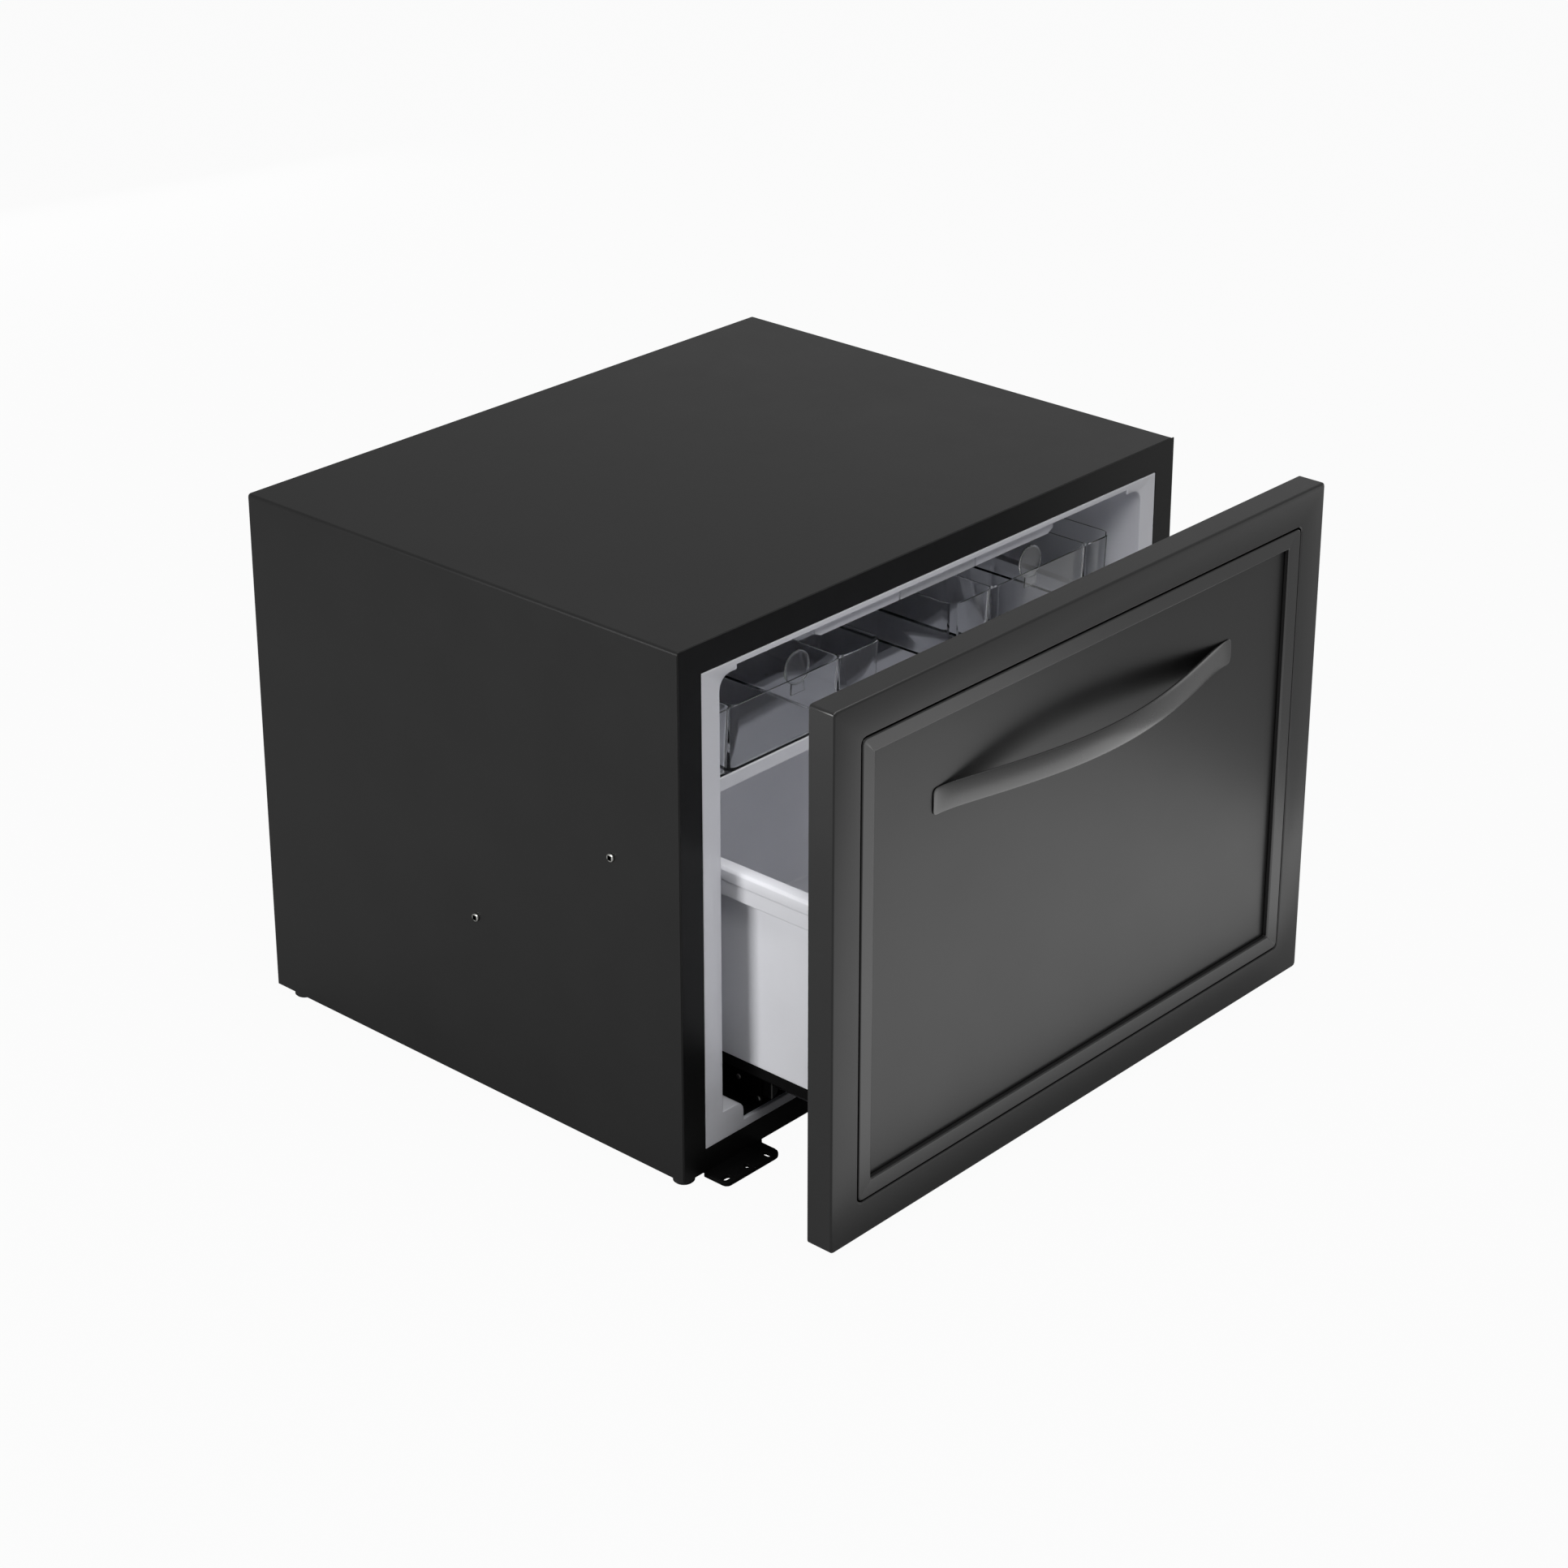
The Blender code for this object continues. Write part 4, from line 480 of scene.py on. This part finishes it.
def crossHead(target, place, direction, radius, height, look=screwHead):
    bm = bmesh.new()
    reach = radius * look["crossReach"]
    half = radius * look["crossHalf"]
    bmesh.ops.create_grid(bm, x_segments=3, y_segments=3, size=reach)
    for vert in bm.verts:
        for axis in (0, 1):
            if abs(vert.co[axis]) < reach * look["innerLines"]:
                vert.co[axis] = math.copysign(half, vert.co[axis])
    cross = [
        face for face in bm.faces
        if min(abs(face.calc_center_median().x), abs(face.calc_center_median().y)) < half
    ]
    square = [edge for edge in bm.edges if edge.is_boundary]
    flat = radius * look["flatTo"]
    circle = bmesh.ops.create_circle(bm, cap_ends=False, radius=flat, segments=look["steps"])["verts"]
    rim = list(dict.fromkeys(edge for vert in circle for edge in vert.link_edges))
    bmesh.ops.bridge_loops(bm, edges=square + rim)
    last = flat
    for share, drop in look["dome"]:
        grown = bmesh.ops.extrude_edge_only(bm, edges=rim)["geom"]
        verts = [item for item in grown if isinstance(item, bmesh.types.BMVert)]
        rim = [item for item in grown if isinstance(item, bmesh.types.BMEdge)]
        scale = radius * share / last
        bmesh.ops.scale(bm, vec=(scale, scale, 1), verts=verts)
        for vert in verts:
            vert.co.z = -height * drop
        last = radius * share
    bmesh.ops.holes_fill(bm, edges=rim, sides=0)
    draft = half * look["draft"]
    bmesh.ops.inset_region(bm, faces=cross, thickness=draft, depth=-height * look["recess"])
    bmesh.ops.translate(bm, vec=(0, 0, height), verts=bm.verts)
    pour(target, bm, facing(place, direction))


# Screws in the casing's sides, each of them a node
sideScrews = {
    "face": 0.2938,
    "radius": 0.0034,
    "height": 0.0018,
    "places": {"1": (0.0708, 0.2510), "2": (0.2193, 0.1489)},  # y and z
}
for sideName, side in sides.items():
    for number, (y, z) in sideScrews["places"].items():
        bm = bmesh.new()
        place = Vector((side * sideScrews["face"], y, z)) + cabinetOrigin
        crossHead(bm, place, (side, 0, 0), sideScrews["radius"], sideScrews["height"])
        node = "side_screw_" + sideName + "_" + number
        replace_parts(addPiece(node + "_dressed", bm, "zinc_plate", "cabinet"), node)

# Screws that the solids leave out, in groups that ride one body and face one way
coverRow = (-0.27, -0.135, 0.0, 0.135, 0.27)
railPlaces = ((0.0254, 0.045), (0.0052, 0.0335), (0.150, 0.045), (0.280, 0.045))
screwGroups = {
    "rearCoverScrews": dict(
        body="cabinet", origin=cabinetOrigin, radius=0.0032, height=0.00028, direction=(0, 1, 0),
        places=[(x, 0.4637, z) for x in coverRow for z in (0.014, 0.422)]
        + [(side * 0.281, 0.4637, z) for side in sides.values() for z in (0.12, 0.23, 0.33)],
    ),
    "inletScrews": dict(
        body="cabinet", origin=cabinetOrigin, radius=0.0018, height=0.00025, direction=(0, 1, 0),
        places=[(0.1985 + side * 0.0178, 0.46372, 0.055) for side in sides.values()],
    ),
    "coldCoverScrews": dict(
        body="cabinet", origin=cabinetOrigin, radius=0.0028, height=0.0007, direction=(0, -1, 0),
        places=[(side * 0.106, 0.3047, 0.235 + rise) for side in sides.values() for rise in (-0.111, 0.111)],
    ),
    "basePanelScrews": dict(
        body="cabinet", origin=cabinetOrigin, radius=0.0032, height=0.0008, direction=(0, 0, -1),
        places=[(side * 0.24, y, 0.0) for side in sides.values() for y in (0.09, 0.23, 0.37)],
    ),
    "railScrewsLeft": dict(
        body="cabinet", origin=cabinetOrigin, radius=0.0022, height=0.0009, direction=(-1, 0, 0),
        places=[(-0.2055, y, z) for y, z in railPlaces],
    ),
    "railScrewsRight": dict(
        body="cabinet", origin=cabinetOrigin, radius=0.0022, height=0.0009, direction=(1, 0, 0),
        places=[(0.2055, y, z) for y, z in railPlaces],
    ),
    "railFootScrews": dict(
        body="cabinet", origin=cabinetOrigin, radius=0.0026, height=0.0010, direction=(0, 0, 1),
        places=[(side * 0.2165, y, 0.0293) for side in sides.values() for y in (0.060, 0.180, 0.285)],
    ),
    "carrierFootScrews": dict(
        body="drawer", origin=drawerOrigin, radius=0.0030, height=0.0014, direction=(0, 1, 0),
        places=[(side * 0.1805, 0.0023, z) for side in sides.values() for z in (0.055, 0.070)],
    ),
}
for name, group in screwGroups.items():
    bm = bmesh.new()
    for place in group["places"]:
        where = Vector(place) + group["origin"]
        crossHead(bm, where, group["direction"], group["radius"], group["height"])
    addPiece(name, bm, "zinc_plate", group["body"])
print("screws placed")


# Bow handle: an oval section drawn out along the bow, thin where it lies on the panel
handleLook = {
    "half": 0.18125,
    "height": 0.0215,
    "bow": 0.0305,
    "power": 1.15,
    "sheet": 0.0034,
    "thinShare": 0.25,  # share of the sheet's thickness that is left at the ends
    "thicken": 0.5,  # thickness gained for each metre that the bow stands off
    "faceShare": 0.50,  # share of the thickness in the convex front
    "backTurn": 3,  # how fast the section turns from its shoulders to its flat back
    "corner": 0.0040,
    "cornerShares": (0, 0.04, 0.14, 0.32, 0.60),  # stations in the rounded ends
    "middleZ": 0.3348,
    "base": -0.28815,
    "lift": 0.0003,
    "steps": 64,
    "sides": 40,
    "sharpAngle": 50,
}


def handleStations(look):
    half, corner = look["half"], look["corner"]
    steps = look["steps"] // 2
    near = [corner * share for share in look["cornerShares"]]
    near += [corner + (half - corner) * step / steps for step in range(steps + 1)]
    return [along - half for along in near] + [half - along for along in reversed(near[:-1])]


def shapeHandleLoop(verts, x, look):  # lays a loop out as the section at x
    rise = look["bow"] * max(math.cos(math.pi / 2 * x / look["half"]), 0.0) ** look["power"]
    least = look["thinShare"] * look["sheet"]
    front = look["base"] - max(rise - look["lift"], least)
    back = min(front + min(look["sheet"], least + look["thicken"] * rise), look["base"])
    short = max(0.0, 1 - (look["half"] - abs(x)) / look["corner"])
    tall = look["height"] / 2 - look["corner"] * (1 - math.sqrt(1 - short**2))
    shoulder = front + look["faceShare"] * (back - front)
    for index, vert in enumerate(verts):
        turn = math.tau * index / len(verts)
        toFront = math.cos(turn)
        if toFront > 0:
            y = shoulder - (shoulder - front) * toFront
        else:
            y = shoulder + (back - shoulder) * min(1, -look["backTurn"] * toFront)
        vert.co = (x, y, look["middleZ"] + tall * math.sin(turn))


def makeHandle(look):
    bm = bmesh.new()
    loop = bmesh.ops.create_circle(bm, cap_ends=False, radius=1, segments=look["sides"])["verts"]
    edges = bm.edges[:]
    stations = handleStations(look)
    shapeHandleLoop(loop, stations[0], look)
    ends = edges
    for x in stations[1:]:
        grown = bmesh.ops.extrude_edge_only(bm, edges=edges)["geom"]
        edges = [item for item in grown if isinstance(item, bmesh.types.BMEdge)]
        fresh = {vert for edge in edges for vert in edge.verts}
        loop = [
            next(edge.other_vert(old) for edge in old.link_edges if edge.other_vert(old) in fresh)
            for old in loop
        ]
        shapeHandleLoop(loop, x, look)
    bmesh.ops.holes_fill(bm, edges=ends + edges, sides=0)
    return bm


handle = addPiece(
    "handle_dressed", makeHandle(handleLook), "handle_metal", "drawer", sharpAngle=handleLook["sharpAngle"]
)
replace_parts(handle, "handle")

# Lens: drawn in a little at both ends, so that a seam shows beside it
lensLook = {"node": "light_lens", "seam": 0.0010, "round": 0.0005}
bm = mergedCopy(lensLook["node"])
reach = max(vert.co.x for vert in bm.verts)
bmesh.ops.scale(bm, vec=((reach - lensLook["seam"]) / reach, 1, 1), verts=bm.verts)
lens = addPiece("light_lens_dressed", bm, "lens_plastic", "cabinet")
roundEdges(lens, lensLook["round"])
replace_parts(lens, lensLook["node"])

# Trays: a bead round each tab
tabLook = {
    "x": 0.1395,
    "y": 0.14865,
    "z": 0.3670,
    "radius": 0.0128,
    "bead": 0.0009,
    "steps": 40,
    "beadSides": 8,
    "sharpAngle": 80,
}


def tabBead(place, look):
    ring = bmesh.new()
    circle = bmesh.ops.create_circle(
        ring, cap_ends=False, radius=look["bead"], segments=look["beadSides"]
    )["verts"]
    upright = Matrix.Translation((look["radius"], 0, 0)) @ Matrix.Rotation(math.radians(90), 4, "X")
    bmesh.ops.transform(ring, matrix=upright, verts=circle)
    bmesh.ops.spin(
        ring, geom=ring.verts[:] + ring.edges[:], cent=(0, 0, 0), axis=(0, 0, 1), angle=math.tau,
        steps=look["steps"], use_merge=True,
    )
    bm = bmesh.new()
    pour(bm, ring, facing(place, (0, 1, 0)))
    return bm


for sideName, side in sides.items():
    place = Vector((side * tabLook["x"], tabLook["y"], tabLook["z"])) + drawerOrigin
    bead = tabBead(place, tabLook)
    addPiece("tabRing_" + sideName, bead, "clear_plastic", "drawer", sharpAngle=tabLook["sharpAngle"])

# Runners: bright cut ends on the webs of the middle members
endLook = {
    "webInside": 0.2004,  # the web lies outside this distance from the middle
    "depth": 0.0001,  # faces this near to the front are the cut end
    "thickness": 0.0003,
}
for sideName, side in sides.items():
    bm = mergedCopy("runner_middle_" + sideName)
    front = min(vert.co.y for vert in bm.verts)
    others = [face for face in bm.faces if face.calc_center_median().y > front + endLook["depth"]]
    bmesh.ops.delete(bm, geom=others, context="FACES")
    bmesh.ops.bisect_plane(
        bm, geom=bm.verts[:] + bm.edges[:] + bm.faces[:], plane_co=(side * endLook["webInside"], 0, 0),
        plane_no=(-side, 0, 0), clear_outer=True,
    )
    bmesh.ops.recalc_face_normals(bm, faces=bm.faces)
    grown = bmesh.ops.extrude_face_region(bm, geom=bm.faces[:])["geom"]
    moved = [item for item in grown if isinstance(item, bmesh.types.BMVert)]
    bmesh.ops.translate(bm, vec=(0, -endLook["thickness"], 0), verts=moved)
    addPiece("middleEnd_" + sideName, bm, "zinc_plate", "middle_" + sideName)

# The nodes that nothing stands for
for node, piece in frame["nodes"].items():
    if not piece.hide_render:
        piece.data.materials.clear()
        piece.data.materials.append(materials[nodeFinishes.get(node) or slotMaterials[nodeSlots[node]]])
print("nodes dressed")


bpy.context.view_layer.update()
